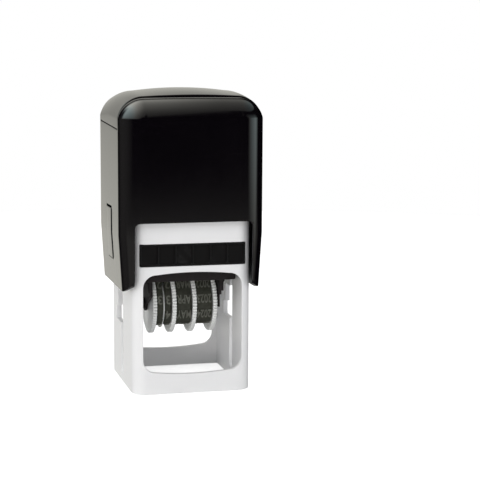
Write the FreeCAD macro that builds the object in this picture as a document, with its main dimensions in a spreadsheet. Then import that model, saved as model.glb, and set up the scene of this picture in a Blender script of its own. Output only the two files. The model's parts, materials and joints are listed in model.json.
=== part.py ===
import FreeCAD, Part
import math
import os
import re
import Sketcher

# A self-inking date stamp: a cap pressed down over a standing frame turns a date rotor from pad to paper.
# Millimetres. The front faces -Y, the frame stands on z = 0 and the origin is the middle of its foot.

SIZES = {
    # frame: the light housing that stands on the paper
    "frame_width": 46.4,
    "frame_depth": 48.8,
    "frame_rim": 5.0,
    "frame_front_wall": 2.0,
    "frame_side_wall": 2.0,
    "frame_corner": 5.5,
    "window_post": 3.9,
    "window_foot": 8.3,
    "window_head_bar": 3.2,
    "window_corner": 5.0,
    "window_bow": 0.8,
    "slot_level": 49.2,
    "side_slot_width": 4.4,
    "side_slot_foot": 3.2,
    "side_slot_rise": 4.2,
    "side_slot_corner": 2.0,
    "cam_bay_drop": 18.0,
    "cam_bay_depth": 9.9,
    "cam_bay_height": 5.7,
    "cam_throat_depth": 6.8,
    "cam_throat_height": 7.4,
    "rail_width": 1.6,
    "rail_height": 1.0,
    # deck: the floor under the return spring
    "deck_over_slot": 2.2,
    "deck_thickness": 2.0,
    "post_height": 6.0,
    # ink pad tray in the slot under the cap's front edge
    "tray_height": 8.3,
    "tray_rear_gap": 6.4,
    "tray_slot_margin": 0.6,
    "tray_side_clear": 0.15,
    "tray_lift_clear": 0.15,
    "grip_cells": 6,
    "grip_corner": 0.4,
    "grip_rib": 0.6,
    "grip_depth": 0.9,
    "grip_border": 0.6,
    "felt_margin": 2.0,
    "felt_thickness": 3.6,
    "felt_set_back": 0.25,
    # rotor: the holder that carries the date works and the die
    "inking_gap": 1.4,
    "die_reach": 6.9,
    "die_edge": 1.3,
    "die_base": 0.7,
    "die_relief": 0.6,
    "die_border": 1.0,
    "die_rule": 0.6,
    "die_rule_gap": 1.7,
    "plate_margin": 0.3,
    "plate_thickness": 1.0,
    "date_gap_x": 0.4,
    "date_gap_y": 0.3,
    "rotor_side_clear": 2.1,
    "rotor_margin": 1.0,
    "rotor_thickness": 3.9,
    "rotor_corner": 1.2,
    "works_bay_margin": 1.6,
    "lug_width": 2.8,
    "lug_depth": 7.0,
    "lug_lip": 0.4,
    "trunnion_radius": 1.8,
    "trunnion_clear": 0.05,
    # date works on one axle
    "axle_radius": 1.5,
    "axle_clear": 0.05,
    "axle_head_radius": 2.3,
    "axle_head": 0.9,
    "cheek_thickness": 1.7,
    "cheek_thin": 0.9,
    "cheek_width": 25.2,
    "cheek_shoulder": 5.7,
    "cheek_foot_width": 19.8,
    "cheek_foot_drop": 1.0,
    "cheek_step": 4.2,
    "cheek_boss_radius": 3.1,
    "wheel_radius": 12.0,
    "wheel_thickness": 1.6,
    "wheel_notch": 0.55,
    "wheel_notches": 60,
    "wheel_top_clear": 0.4,
    "hub_radius": 6.9,
    "hub_end_clear": 0.1,
    "band_clear": 0.1,
    "band_thickness": 1.1,
    "band_side_gap": 0.2,
    "band_tens_width": 2.5,
    "band_units_width": 2.45,
    "band_month_width": 6.1,
    "band_year_width": 6.2,
    "divider_thickness": 0.4,
    "divider_radius": 10.0,
    "stack_end_gap": 0.35,
    "spacer_radius": 3.6,
    "spacer_thickness": 0.5,
    "spacer_clear": 0.1,
    "anvil_radius": 2.1,
    "anvil_flat": 1.3,
    # yoke: the inner slider that hangs the rotor from the cap
    "yoke_gap": 0.1,
    "yoke_thickness": 1.6,
    "yoke_arm_width": 10.0,
    "yoke_arm_shoulder": 6.0,
    "yoke_eye_wall": 0.8,
    "yoke_plate_thickness": 2.0,
    "yoke_press_clear": 1.1,
    "yoke_notch_clear": 0.5,
    "cup_height": 10.1,
    "cup_wall": 1.7,
    "cup_margin": 0.4,
    "cup_roof": 2.0,
    # return spring
    "spring_radius": 7.4,
    "spring_wire": 1.2,
    "spring_turns": 7,
    "spring_post_clear": 0.8,
    "spring_cup_clear": 0.9,
    # cap: the black shell that the hand presses
    "cap_wall": 2.2,
    "cap_side_wall": 2.7,
    "cap_run_clear": 0.7,
    "cap_yoke_clear": 0.4,
    "cap_head_clear": 0.4,
    "cap_bay_clear": 1.3,
    "cap_skirt_drop": 9.6,
    "cap_roof": 5.2,
    "cap_dome": 1.2,
    "cap_taper": 1.3,
    "cap_taper_height": 21.4,
    "cap_shoulder": 10.0,
    "cap_edge": 8.0,
    "cap_brow": 8.0,
    "cap_crown": 2.4,
    "cap_bay_corner": 4.0,
    "cap_rim_clear": 1.0,
    "cap_roof_step": 6.0,
    "skirt_cover": 0.4,
    "skirt_lap": 1.0,
    "skirt_corner": 2.0,
    "heel_radius": 8.0,
    # index cover: the saddle that lifts off the cap's top
    "cover_inset": 7.85,
    "cover_skirt": 12.8,
    "cover_thickness": 2.0,
    "cover_gap": 0.15,
    # lock buttons in the cap's sides
    "button_width": 10.6,
    "button_rise": 10.6,
    "button_over_taper": 8.8,
    "button_root_clear": 1.3,
    "button_proud": 0.25,
    "button_gap": 0.3,
    # what a cut runs past the face that it opens
    "overrun": 1.0,
}

# Places that several pieces share, worked out from the sizes above.
FRAME_X = "(frame_width / 2)"
FRAME_Y = "(frame_depth / 2)"
BAY_X = "(frame_width / 2 - frame_side_wall)"
BAY_Y = "(frame_depth / 2 - frame_front_wall)"
SLOT_X = f"({BAY_X} - tray_slot_margin)"
TRAY_X = f"({SLOT_X} - tray_side_clear)"
SLOT_HEAD = "(slot_level + tray_height + 2 * tray_lift_clear)"
DECK_FOOT = f"({SLOT_HEAD} + deck_over_slot)"
DECK_TOP = f"({DECK_FOOT} + deck_thickness)"
FRAME_TOP = f"({DECK_TOP} + frame_rim)"
FELT_FACE = "(slot_level + tray_lift_clear + felt_set_back)"
DIE_FACE = f"({FELT_FACE} - inking_gap)"
PIVOT = f"({DIE_FACE} - die_reach)"
STROKE = f"({PIVOT} - die_reach)"
NOSE = f"({DIE_FACE} - band_thickness - band_clear - anvil_radius)"
AXLE = f"({NOSE} - anvil_flat - wheel_top_clear - wheel_radius)"
ROTOR_TOP = f"({DIE_FACE} - die_relief - die_base - plate_thickness)"
ROTOR_FOOT = f"({ROTOR_TOP} - rotor_thickness)"
BAND_INNER = "(hub_radius + band_clear)"
NOSE_INNER = "(anvil_radius + band_clear)"
BAND_STACK = "(band_tens_width + band_units_width + band_month_width + band_year_width)"
STACK = f"(4 * wheel_thickness + 8 * band_side_gap + divider_thickness + {BAND_STACK})"
CHEEK_X = f"(({STACK} + stack_end_gap + spacer_clear + spacer_thickness) / 2)"
DATE_X = f"({CHEEK_X} + date_gap_x)"
DATE_Y = f"({NOSE_INNER} + band_thickness + date_gap_y)"
DIE_SIZE = f"(2 * ({DATE_X} + die_edge))"
FELT_SIZE = f"({DIE_SIZE} + 2 * felt_margin)"
YOKE_INNER = f"({FRAME_X} + yoke_gap)"
YOKE_OUTER = f"({YOKE_INNER} + yoke_thickness)"
YOKE_FOOT = f"({DECK_TOP} + {STROKE} + yoke_press_clear)"
YOKE_HEAD = f"({YOKE_FOOT} + yoke_plate_thickness)"
CUP_BORE = "(spring_radius + spring_wire / 2 + spring_cup_clear)"
CUP_RADIUS = f"({CUP_BORE} + cup_wall)"
YOKE_DEPTH = f"(2 * {CUP_RADIUS} + 2 * cup_margin)"
CAP_BAY_X = f"({YOKE_OUTER} + cap_yoke_clear)"
CAP_BAY_Y = f"({FRAME_Y} + cap_run_clear)"
CAP_X = f"({CAP_BAY_X} + cap_side_wall)"
CAP_Y = f"({CAP_BAY_Y} + cap_wall)"
CAP_FOOT = "(slot_level - cap_skirt_drop)"
CAP_TAPER_HEAD = f"({CAP_FOOT} + cap_taper_height)"
CAP_CEILING = f"({YOKE_HEAD} + cup_height)"
CAP_TOP = f"({CAP_CEILING} + cap_roof)"
CAP_PEAK = f"({CAP_TOP} + cap_dome)"
COVER_Y = f"({CAP_Y} - cover_inset)"
COVER_FOOT = f"({CAP_TOP} - cover_skirt)"
CUP_CEILING = f"({CAP_CEILING} - cup_roof)"
BUTTON_FOOT = f"({CAP_FOOT} + button_rise)"
BUTTON_HEAD = f"({CAP_TAPER_HEAD} + button_over_taper)"
BROW_Y = f"({CAP_Y} - cap_brow)"
BROW_HEAD = f"({CAP_PEAK} - cap_crown)"

os.makedirs("parts", exist_ok=True)
doc = FreeCAD.newDocument("date_stamp")
sheet = doc.addObject("Spreadsheet::Sheet", "Dims")
for row, (alias, size) in enumerate(SIZES.items(), start=1):
    sheet.set(f"A{row}", alias)
    sheet.set(f"B{row}", str(size))
    sheet.setAlias(f"B{row}", alias)
doc.recompute()
nodes = []


def bound(text):
    """An expression with each named size pointing at its cell."""
    return re.sub(r"[a-z][a-z_]*", lambda word: f"Dims.{word[0]}" if word[0] in SIZES else word[0], text)


def value(text):
    """What an expression comes to at the sheet's present sizes."""
    return float(sheet.evalExpression(bound(text)))


def body(name, x="0", z="0"):
    """A sub-part, with its own place along X and Z."""
    made = doc.addObject("PartDesign::Body", name)
    made.Label = name
    made.setExpression(".Placement.Base.x", bound(x))
    made.setExpression(".Placement.Base.z", bound(z))
    nodes.append(made)
    return made


def origin_item(owner, role):
    return next(item for item in owner.Origin.OriginFeatures if item.Role == role)


def outline(corners, arcs=None):
    """A closed outline through corners. arcs gives the radius of the side that starts at a corner:
    above zero with its centre to the left of the way round, below zero to the right."""
    arcs = arcs or {}

    def draw(sketch):
        first = sketch.GeometryCount
        points = [FreeCAD.Vector(value(x), value(y), 0) for x, y in corners]
        starts = []
        for i, here in enumerate(points):
            there = points[(i + 1) % len(points)]
            if i not in arcs:
                sketch.addGeometry(Part.LineSegment(here, there), False)
                starts.append((1, 2))
                continue
            radius = value(arcs[i])
            chord = there - here
            rise = math.sqrt(max(radius**2 - (chord.Length / 2) ** 2, 0))
            left = FreeCAD.Vector(-chord.y, chord.x, 0).normalize()
            side = math.copysign(1, radius)
            crown = (here + there) * 0.5 + left * side * (rise - abs(radius))
            if side > 0:
                arc = Part.Arc(here, crown, there)
                starts.append((1, 2))
            else:
                arc = Part.Arc(there, crown, here)
                starts.append((2, 1))
            sketch.addGeometry(arc, False)
        count = len(points)
        for i in range(count):
            after = (i + 1) % count
            sketch.addConstraint(
                Sketcher.Constraint("Coincident", first + i, starts[i][1], first + after, starts[after][0])
            )
        for i, (x, y) in enumerate(corners):
            hold(sketch, "DistanceX", first + i, starts[i][0], x)
            hold(sketch, "DistanceY", first + i, starts[i][0], y)
        for i, radius in arcs.items():
            size = radius if value(radius) > 0 else f"-({radius})"
            index = sketch.addConstraint(Sketcher.Constraint("Radius", first + i, value(size)))
            sketch.setExpression(f"Constraints[{index}]", bound(size))

    return draw


def hold(sketch, kind, geometry, point, text):
    """Tie one coordinate of a point to an expression."""
    index = sketch.addConstraint(Sketcher.Constraint(kind, geometry, point, value(text)))
    sketch.setExpression(f"Constraints[{index}]", bound(text))


def circle(x, y, radius):
    def draw(sketch):
        centre = FreeCAD.Vector(value(x), value(y), 0)
        ring = sketch.addGeometry(Part.Circle(centre, FreeCAD.Vector(0, 0, 1), value(radius)), False)
        hold(sketch, "DistanceX", ring, 3, x)
        hold(sketch, "DistanceY", ring, 3, y)
        index = sketch.addConstraint(Sketcher.Constraint("Radius", ring, value(radius)))
        sketch.setExpression(f"Constraints[{index}]", bound(radius))

    return draw


def block(left, right, low, high, radius=None):
    """A rectangle, with rounded corners where a radius is given."""
    if radius is None:
        return outline([(left, low), (right, low), (right, high), (left, high)])
    inner_left, inner_right = f"{left} + {radius}", f"{right} - {radius}"
    inner_low, inner_high = f"{low} + {radius}", f"{high} - {radius}"
    corners = [
        (inner_left, low),
        (inner_right, low),
        (right, inner_low),
        (right, inner_high),
        (inner_right, high),
        (inner_left, high),
        (left, inner_high),
        (left, inner_low),
    ]
    return outline(corners, {1: radius, 3: radius, 5: radius, 7: radius})


def centred(width, low, high, radius=None):
    return block(f"-({width}) / 2", f"({width}) / 2", low, high, radius)


def sketch_on(owner, name, plane, loops, middle="0"):
    """A sketch on one of the body's own planes, moved to middle along the axis that the plane leaves out."""
    made = owner.newObject("Sketcher::SketchObject", f"{owner.Name}_{name}_sketch")
    made.AttachmentSupport = [(origin_item(owner, plane), "")]
    made.MapMode = "FlatFace"
    for draw in loops:
        draw(made)
    sign = "-" if plane == "XZ_Plane" else ""
    made.setExpression(".AttachmentOffset.Base.z", bound(f"{sign}({middle})"))
    return made


def feature(owner, kind, name, plane, loops, low, high):
    """A pad or pocket that runs from low to high along the axis that the plane leaves out."""
    sketch = sketch_on(owner, name, plane, loops, f"(({low}) + ({high})) / 2")
    made = owner.newObject(f"PartDesign::{kind}", f"{owner.Name}_{name}")
    made.Profile = sketch
    made.Midplane = True
    made.setExpression("Length", bound(f"({high}) - ({low})"))
    sketch.Visibility = False
    doc.recompute()
    return made


def pad(owner, name, plane, loops, low, high):
    return feature(owner, "Pad", name, plane, loops, low, high)


def cut(owner, name, plane, loops, low, high):
    """A pocket, which has to take something away."""
    before = owner.Shape.Volume
    made = feature(owner, "Pocket", name, plane, loops, low, high)
    if not owner.Shape.Volume < before:
        raise RuntimeError(f"{made.Name} cuts nothing")
    return made


def make_frame():
    frame = body("frame")
    walls = [centred("frame_width", f"-{FRAME_Y}", FRAME_Y, "frame_corner")]
    pad(frame, "walls", "XY_Plane", walls, "0", FRAME_TOP)
    bay = [centred(f"2 * {BAY_X}", f"-{BAY_Y}", BAY_Y)]
    cut(frame, "bay", "XY_Plane", bay, "-overrun", f"{FRAME_TOP} + overrun")
    make_windows(frame)
    slot = [centred(f"2 * {SLOT_X}", "slot_level", SLOT_HEAD)]
    cut(frame, "pad_slot", "XZ_Plane", slot, f"-{FRAME_Y} - overrun", f"-{BAY_Y} + overrun")
    make_side_slots(frame)
    notch_foot = f"{DECK_TOP} + yoke_notch_clear"
    notch = [centred(f"{YOKE_DEPTH} + 2 * yoke_notch_clear", notch_foot, f"{FRAME_TOP} + overrun")]
    cut(frame, "yoke_notch", "YZ_Plane", notch, f"-{FRAME_X} - overrun", f"{FRAME_X} + overrun")
    rails = [
        block(f"-{BAY_X}", f"-{BAY_X} + rail_width", "slot_level - rail_height", "slot_level"),
        block(f"{BAY_X} - rail_width", BAY_X, "slot_level - rail_height", "slot_level"),
    ]
    pad(frame, "pad_rails", "XZ_Plane", rails, f"-{BAY_Y}", BAY_Y)


def make_windows(frame):
    """The front and rear windows, with a gently bowed foot and head."""
    half, corner = f"({FRAME_X} - window_post)", "window_corner"
    foot, head = "window_foot", "(slot_level - window_head_bar)"
    reach = f"({half} - {corner})"
    bow = f"({reach} ^ 2 + window_bow ^ 2) / (2 * window_bow)"
    corners = [
        (f"-{reach}", foot),
        (reach, foot),
        (half, f"{foot} + {corner}"),
        (half, f"{head} - {corner}"),
        (reach, head),
        (f"-{reach}", head),
        (f"-{half}", f"{head} - {corner}"),
        (f"-{half}", f"{foot} + {corner}"),
    ]
    arcs = {0: bow, 1: corner, 3: corner, 4: bow, 5: corner, 7: corner}
    window = [outline(corners, arcs)]
    cut(frame, "windows", "XZ_Plane", window, f"-{FRAME_Y} - overrun", f"{FRAME_Y} + overrun")


def make_side_slots(frame):
    """The slots that the rotor's trunnions run down, with the bay and throat of the track that turns it."""
    half, corner = "side_slot_width / 2", "side_slot_corner"
    bay, throat = f"({half} + cam_bay_depth)", f"({half} + cam_throat_depth)"
    head = f"({PIVOT} + side_slot_rise)"
    bay_foot = f"({PIVOT} - cam_bay_drop)"
    bay_head = f"({bay_foot} + cam_bay_height)"
    throat_head = f"({bay_head} + cam_throat_height)"
    corners = [
        (f"-{half} + {corner}", "side_slot_foot"),
        (f"{half} - {corner}", "side_slot_foot"),
        (half, f"side_slot_foot + {corner}"),
        (half, bay_foot),
        (bay, bay_foot),
        (bay, bay_head),
        (throat, bay_head),
        (throat, throat_head),
        (half, throat_head),
        (half, f"{head} - {corner}"),
        (f"{half} - {corner}", head),
        (f"-{half} + {corner}", head),
        (f"-{half}", f"{head} - {corner}"),
        (f"-{half}", f"side_slot_foot + {corner}"),
    ]
    slot = [outline(corners, {1: corner, 9: corner, 11: corner, 13: corner})]
    cut(frame, "side_slots", "YZ_Plane", slot, f"-{FRAME_X} - overrun", f"{FRAME_X} + overrun")


def make_deck():
    deck = body("frame_deck", z=DECK_FOOT)
    plate = [centred(f"2 * {BAY_X}", f"-{BAY_Y}", BAY_Y)]
    pad(deck, "plate", "XY_Plane", plate, "0", "deck_thickness")
    post = [circle("0", "0", "spring_radius - spring_wire / 2 - spring_post_clear")]
    pad(deck, "post", "XY_Plane", post, "0", "deck_thickness + post_height")


def make_tray():
    tray = body("pad_tray", z="slot_level + tray_lift_clear")
    shell = [block(f"-{TRAY_X}", TRAY_X, f"-{FRAME_Y}", f"{FRAME_Y} - tray_rear_gap")]
    pad(tray, "shell", "XY_Plane", shell, "0", "tray_height")
    well = [centred(FELT_SIZE, f"-{FELT_SIZE} / 2", f"{FELT_SIZE} / 2")]
    cut(tray, "felt_well", "XY_Plane", well, "-overrun", "felt_set_back + felt_thickness")
    span = f"((2 * {TRAY_X} - 2 * grip_border - (grip_cells - 1) * grip_rib) / grip_cells)"
    cells = []
    for i in range(round(value("grip_cells"))):
        left = f"-{TRAY_X} + grip_border + {i} * ({span} + grip_rib)"
        right = f"{left} + {span}"
        cells.append(block(left, right, "grip_border", "tray_height - grip_border", "grip_corner"))
    cut(tray, "grip", "XZ_Plane", cells, f"-{FRAME_Y} - overrun", f"-{FRAME_Y} + grip_depth")
    felt = body("ink_pad", z="slot_level + tray_lift_clear + felt_set_back")
    cushion = [centred(FELT_SIZE, f"-{FELT_SIZE} / 2", f"{FELT_SIZE} / 2")]
    pad(felt, "cushion", "XY_Plane", cushion, "0", "felt_thickness")


def make_rotor():
    rotor = body("rotor_frame")
    deep = f"({DIE_SIZE} / 2 + rotor_margin)"
    plate = [centred(f"2 * {BAY_X} - 2 * rotor_side_clear", f"-{deep}", deep, "rotor_corner")]
    pad(rotor, "plate", "XY_Plane", plate, ROTOR_FOOT, ROTOR_TOP)
    bay_x = f"({CHEEK_X} + cheek_thickness)"
    bay_y = "(cheek_width / 2 + works_bay_margin)"
    bay = [centred(f"2 * {bay_x}", f"-{bay_y}", bay_y)]
    cut(rotor, "works_bay", "XY_Plane", bay, f"{ROTOR_FOOT} - overrun", f"{ROTOR_TOP} + overrun")
    lug = [block("-lug_depth / 2", "lug_depth / 2", f"{PIVOT} - trunnion_radius - lug_lip", ROTOR_TOP)]
    pin = [circle("0", PIVOT, "trunnion_radius")]
    pad(rotor, "right_lug", "YZ_Plane", lug, bay_x, f"{bay_x} + lug_width")
    pad(rotor, "left_lug", "YZ_Plane", lug, f"-{bay_x} - lug_width", f"-{bay_x}")
    pad(rotor, "right_trunnion", "YZ_Plane", pin, bay_x, YOKE_OUTER)
    pad(rotor, "left_trunnion", "YZ_Plane", pin, f"-{YOKE_OUTER}", f"-{bay_x}")


def make_cheeks():
    """The two plates that hold the axle under the rotor, thinner below the step. The left one tapers to its
    boss, the right one keeps square wings beside it."""
    half, boss, foot = "(cheek_width / 2)", "cheek_boss_radius", "(cheek_foot_width / 2)"
    step = f"({PIVOT} - cheek_step)"
    shoulder = f"({PIVOT} - cheek_shoulder)"
    wing = f"({AXLE} - cheek_foot_drop)"
    neck = f"sqrt({boss} ^ 2 - cheek_foot_drop ^ 2)"
    head = [(half, shoulder), (half, ROTOR_TOP), (f"-{half}", ROTOR_TOP), (f"-{half}", shoulder)]
    tapered = [*head, (f"-{boss}", AXLE), ("0", f"{AXLE} - {boss}"), (boss, AXLE)]
    squared = [*head, (f"-{foot}", shoulder), (f"-{foot}", wing), (f"-{neck}", wing),
               ("0", f"{AXLE} - {boss}"), (neck, wing), (foot, wing), (foot, shoulder)]
    left, right = outline(tapered, {4: boss, 5: boss}), outline(squared, {6: boss, 7: boss})
    for name, side, profile in (("cheek_left", -1, left), ("cheek_right", 1, right)):
        cheek = body(name)
        inner = f"{side} * {CHEEK_X}"
        outer = f"{side} * ({CHEEK_X} + cheek_thickness)"
        thin = f"{side} * ({CHEEK_X} + cheek_thin)"
        low, high = (inner, outer) if side > 0 else (outer, inner)
        pad(cheek, "plate", "YZ_Plane", [profile], low, high)
        below = [block(f"-{half} - overrun", f"{half} + overrun", f"{AXLE} - {boss} - overrun", step)]
        low, high = (thin, f"{outer} + overrun") if side > 0 else (f"{outer} - overrun", thin)
        cut(cheek, "step", "YZ_Plane", below, low, high)
        bore = [circle("0", AXLE, "axle_radius + axle_clear")]
        end = f"({CHEEK_X} + cheek_thickness + overrun)"
        cut(cheek, "bore", "YZ_Plane", bore, f"-{end}", end)


def make_plates():
    """The text plate and the rubber die on it, both open along the date line."""
    opening = centred(f"2 * {DATE_X}", f"-{DATE_Y}", DATE_Y)
    reach = f"({DIE_SIZE} / 2 + plate_margin)"
    plate = body("text_plate", z=ROTOR_TOP)
    sheet_outline = [centred(f"2 * {reach}", f"-{reach}", reach, "rotor_corner")]
    pad(plate, "sheet", "XY_Plane", sheet_outline, "0", "plate_thickness")
    cut(plate, "date_line", "XY_Plane", [opening], "-overrun", "plate_thickness + overrun")
    die = body("die_rubber", z=f"{ROTOR_TOP} + plate_thickness")
    mat = [centred(DIE_SIZE, f"-{DIE_SIZE} / 2", f"{DIE_SIZE} / 2")]
    pad(die, "mat", "XY_Plane", mat, "0", "die_base + die_relief")
    cut(die, "date_line", "XY_Plane", [opening], "-overrun", "die_base + die_relief + overrun")
    field = f"({DIE_SIZE} / 2 - die_border)"
    rule = f"({DATE_Y} + die_rule_gap)"
    fields = [
        centred(f"2 * {field}", f"{rule} + die_rule / 2", field),
        centred(f"2 * {field}", f"-{field}", f"-{rule} - die_rule / 2"),
        centred(f"2 * {field}", f"-{rule} + die_rule / 2", f"{rule} - die_rule / 2"),
    ]
    cut(die, "fields", "XY_Plane", fields, "die_base", "die_base + die_relief + overrun")


def make_anvil():
    """The bar that the bands turn over behind the print face."""
    chord = "sqrt(anvil_radius ^ 2 - anvil_flat ^ 2)"
    anvil = body("band_anvil", z=NOSE)
    corners = [(f"-{chord}", "-anvil_flat"), (chord, "-anvil_flat"), ("0", "anvil_radius")]
    bar = [outline(corners, {1: "anvil_radius", 2: "anvil_radius"})]
    pad(anvil, "bar", "YZ_Plane", bar, f"-{CHEEK_X}", CHEEK_X)


def make_wheel(name, disc_from, hub_side, band_width):
    """A setting wheel: a rim of fine notches and a hub that its band turns on."""
    wheel = body(name, x=disc_from, z=AXLE)
    length = f"({band_width} + 2 * band_side_gap - hub_end_clear)"
    bore = "axle_radius + axle_clear"
    rim = [circle("0", "0", "wheel_radius")]
    pad(wheel, "rim", "YZ_Plane", rim, "0", "wheel_thickness")
    low, high = f"-{length}", "wheel_thickness"
    if hub_side > 0:
        low, high = "0", f"wheel_thickness + {length}"
    pad(wheel, "hub", "YZ_Plane", [circle("0", "0", "hub_radius")], low, high)
    cut(wheel, "bore", "YZ_Plane", [circle("0", "0", bore)], f"{low} - overrun", f"{high} + overrun")
    gap = "(wheel_radius * pi / wheel_notches / 2)"
    root, tip = "wheel_radius - wheel_notch", "wheel_radius + wheel_notch"
    notch = outline([("0", root), (gap, tip), (f"-{gap}", tip)])
    first = cut(wheel, "notch", "YZ_Plane", [notch], "-overrun", "wheel_thickness + overrun")
    pattern = wheel.newObject("PartDesign::PolarPattern", f"{name}_knurl")
    pattern.Originals = [first]
    pattern.Axis = (origin_item(wheel, "X_Axis"), [""])
    pattern.Angle = 360
    pattern.setExpression("Occurrences", bound("wheel_notches"))
    wheel.Tip = pattern
    doc.recompute()


def belt(growth):
    """The loop round the hub and the anvil, with growth added outside."""
    hub, nose = f"({BAND_INNER} + {growth})", f"({NOSE_INNER} + {growth})"
    span = f"({NOSE} - {AXLE})"
    lean = f"(({BAND_INNER} - {NOSE_INNER}) / {span})"
    flat = f"sqrt(1 - {lean} ^ 2)"
    corners = [
        ("0", f"-{hub}"),
        (f"{hub} * {flat}", f"{hub} * {lean}"),
        (f"{nose} * {flat}", f"{span} + {nose} * {lean}"),
        ("0", f"{span} + {nose}"),
        (f"-{nose} * {flat}", f"{span} + {nose} * {lean}"),
        (f"-{hub} * {flat}", f"{hub} * {lean}"),
    ]
    return outline(corners, {0: hub, 2: nose, 3: nose, 5: hub})


def make_band(name, start, width):
    band = body(name, x=start, z=AXLE)
    pad(band, "loop", "YZ_Plane", [belt("band_thickness")], "0", width)
    cut(band, "inside", "YZ_Plane", [belt("0")], "-overrun", f"{width} + overrun")


def make_date_works():
    """Wheels and bands side by side along the axle, from left to right."""
    disc, gap = "wheel_thickness", "band_side_gap"
    left = f"(stack_end_gap - {CHEEK_X})"
    right = f"({left} + {STACK})"
    tens = f"({left} + {disc} + {gap})"
    divider = f"({tens} + band_tens_width + {gap})"
    units = f"({divider} + divider_thickness + {gap})"
    units_disc = f"({units} + band_units_width + {gap})"
    month = f"({units_disc} + {disc} + {gap})"
    month_disc = f"({month} + band_month_width + {gap})"
    year = f"({month_disc} + {disc} + {gap})"
    year_disc = f"({year} + band_year_width + {gap})"
    make_wheel("wheel_day_tens", left, 1, "band_tens_width")
    make_wheel("wheel_day_units", units_disc, -1, "band_units_width")
    make_wheel("wheel_month", month_disc, -1, "band_month_width")
    make_wheel("wheel_year", year_disc, -1, "band_year_width")
    make_band("band_day_tens", tens, "band_tens_width")
    make_band("band_day_units", units, "band_units_width")
    make_band("band_month", month, "band_month_width")
    make_band("band_year", year, "band_year_width")
    ring = [circle("0", "0", "divider_radius"), circle("0", "0", "axle_radius")]
    disc_body = body("band_divider", x=divider, z=AXLE)
    pad(disc_body, "disc", "YZ_Plane", ring, "0", "divider_thickness")
    spacer = body("axle_spacer", z=AXLE)
    ring = [circle("0", "0", "spacer_radius"), circle("0", "0", "axle_radius")]
    pad(spacer, "washer", "YZ_Plane", ring, f"{right} + spacer_clear", CHEEK_X)
    axle = body("wheel_axle", z=AXLE)
    seat = f"({CHEEK_X} + cheek_thin)"
    pad(axle, "shaft", "YZ_Plane", [circle("0", "0", "axle_radius")], f"-{seat}", seat)
    head = [circle("0", "0", "axle_head_radius")]
    pad(axle, "right_head", "YZ_Plane", head, seat, f"{seat} + axle_head")
    pad(axle, "left_head", "YZ_Plane", head, f"-{seat} - axle_head", f"-{seat}")


def crown(inset, foot):
    """Corners and arcs of the cap's shoulders and dome, drawn in by inset, from right foot to left."""
    side = f"({CAP_X} - ({inset}))"
    top = f"({CAP_TOP} - ({inset}))"
    shoulder = f"(cap_shoulder - ({inset}))"
    reach = f"({side} - {shoulder})"
    dome = f"(({reach} ^ 2 + cap_dome ^ 2) / (2 * cap_dome))"
    corners = [
        (side, foot),
        (side, f"{top} - {shoulder}"),
        (reach, top),
        (f"-{reach}", top),
        (f"-{side}", f"{top} - {shoulder}"),
        (f"-{side}", foot),
    ]
    return corners, {1: shoulder, 2: dome, 3: shoulder}


def shifted(arcs, steps):
    return {index + steps: radius for index, radius in arcs.items()}


SEAT_Y = f"({COVER_Y} + cover_gap)"
CROWN_X = f"({CAP_X} - cap_shoulder + cap_shoulder * 0.42)"
CROWN_RADIUS = f"(({BROW_Y} ^ 2 + cap_crown ^ 2) / (2 * cap_crown))"


def crown_at(y):
    """The height of the top's front to rear arc at a distance y from the middle."""
    return f"({CAP_PEAK} - {CROWN_RADIUS} + sqrt({CROWN_RADIUS} ^ 2 - {y} ^ 2))"


def over_crown(reach, head, ends, radius):
    """What lies above the top's front to rear arc, and above the brow at each end where a radius is given."""
    high = f"({CAP_PEAK} + overrun)"
    mirrored = [(y[1:] if y.startswith("-") else f"-{y}", z) for y, z in reversed(ends)]
    outer = ends[0][0] if ends else f"-{reach}"
    right = outer[1:]
    corners = [*ends, (f"-{reach}", head), (reach, head), *mirrored, (right, high), (outer, high)]
    first = len(ends)
    arcs = {first: f"-{CROWN_RADIUS}"}
    if radius:
        arcs.update({first - 1: f"-{radius}", first + 1: f"-{radius}"})
    return outline(corners, arcs)


def outside_crown(inset, foot):
    """What lies outside the cap's shoulders and dome, above foot."""
    wide, high = f"({CAP_X} + overrun)", f"({CAP_PEAK} + overrun)"
    corners, arcs = crown(inset, foot)
    around = [(f"-{wide}", foot), (f"-{wide}", high), (wide, high), (wide, foot)]
    return outline(around + corners, shifted(arcs, 4))


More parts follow.
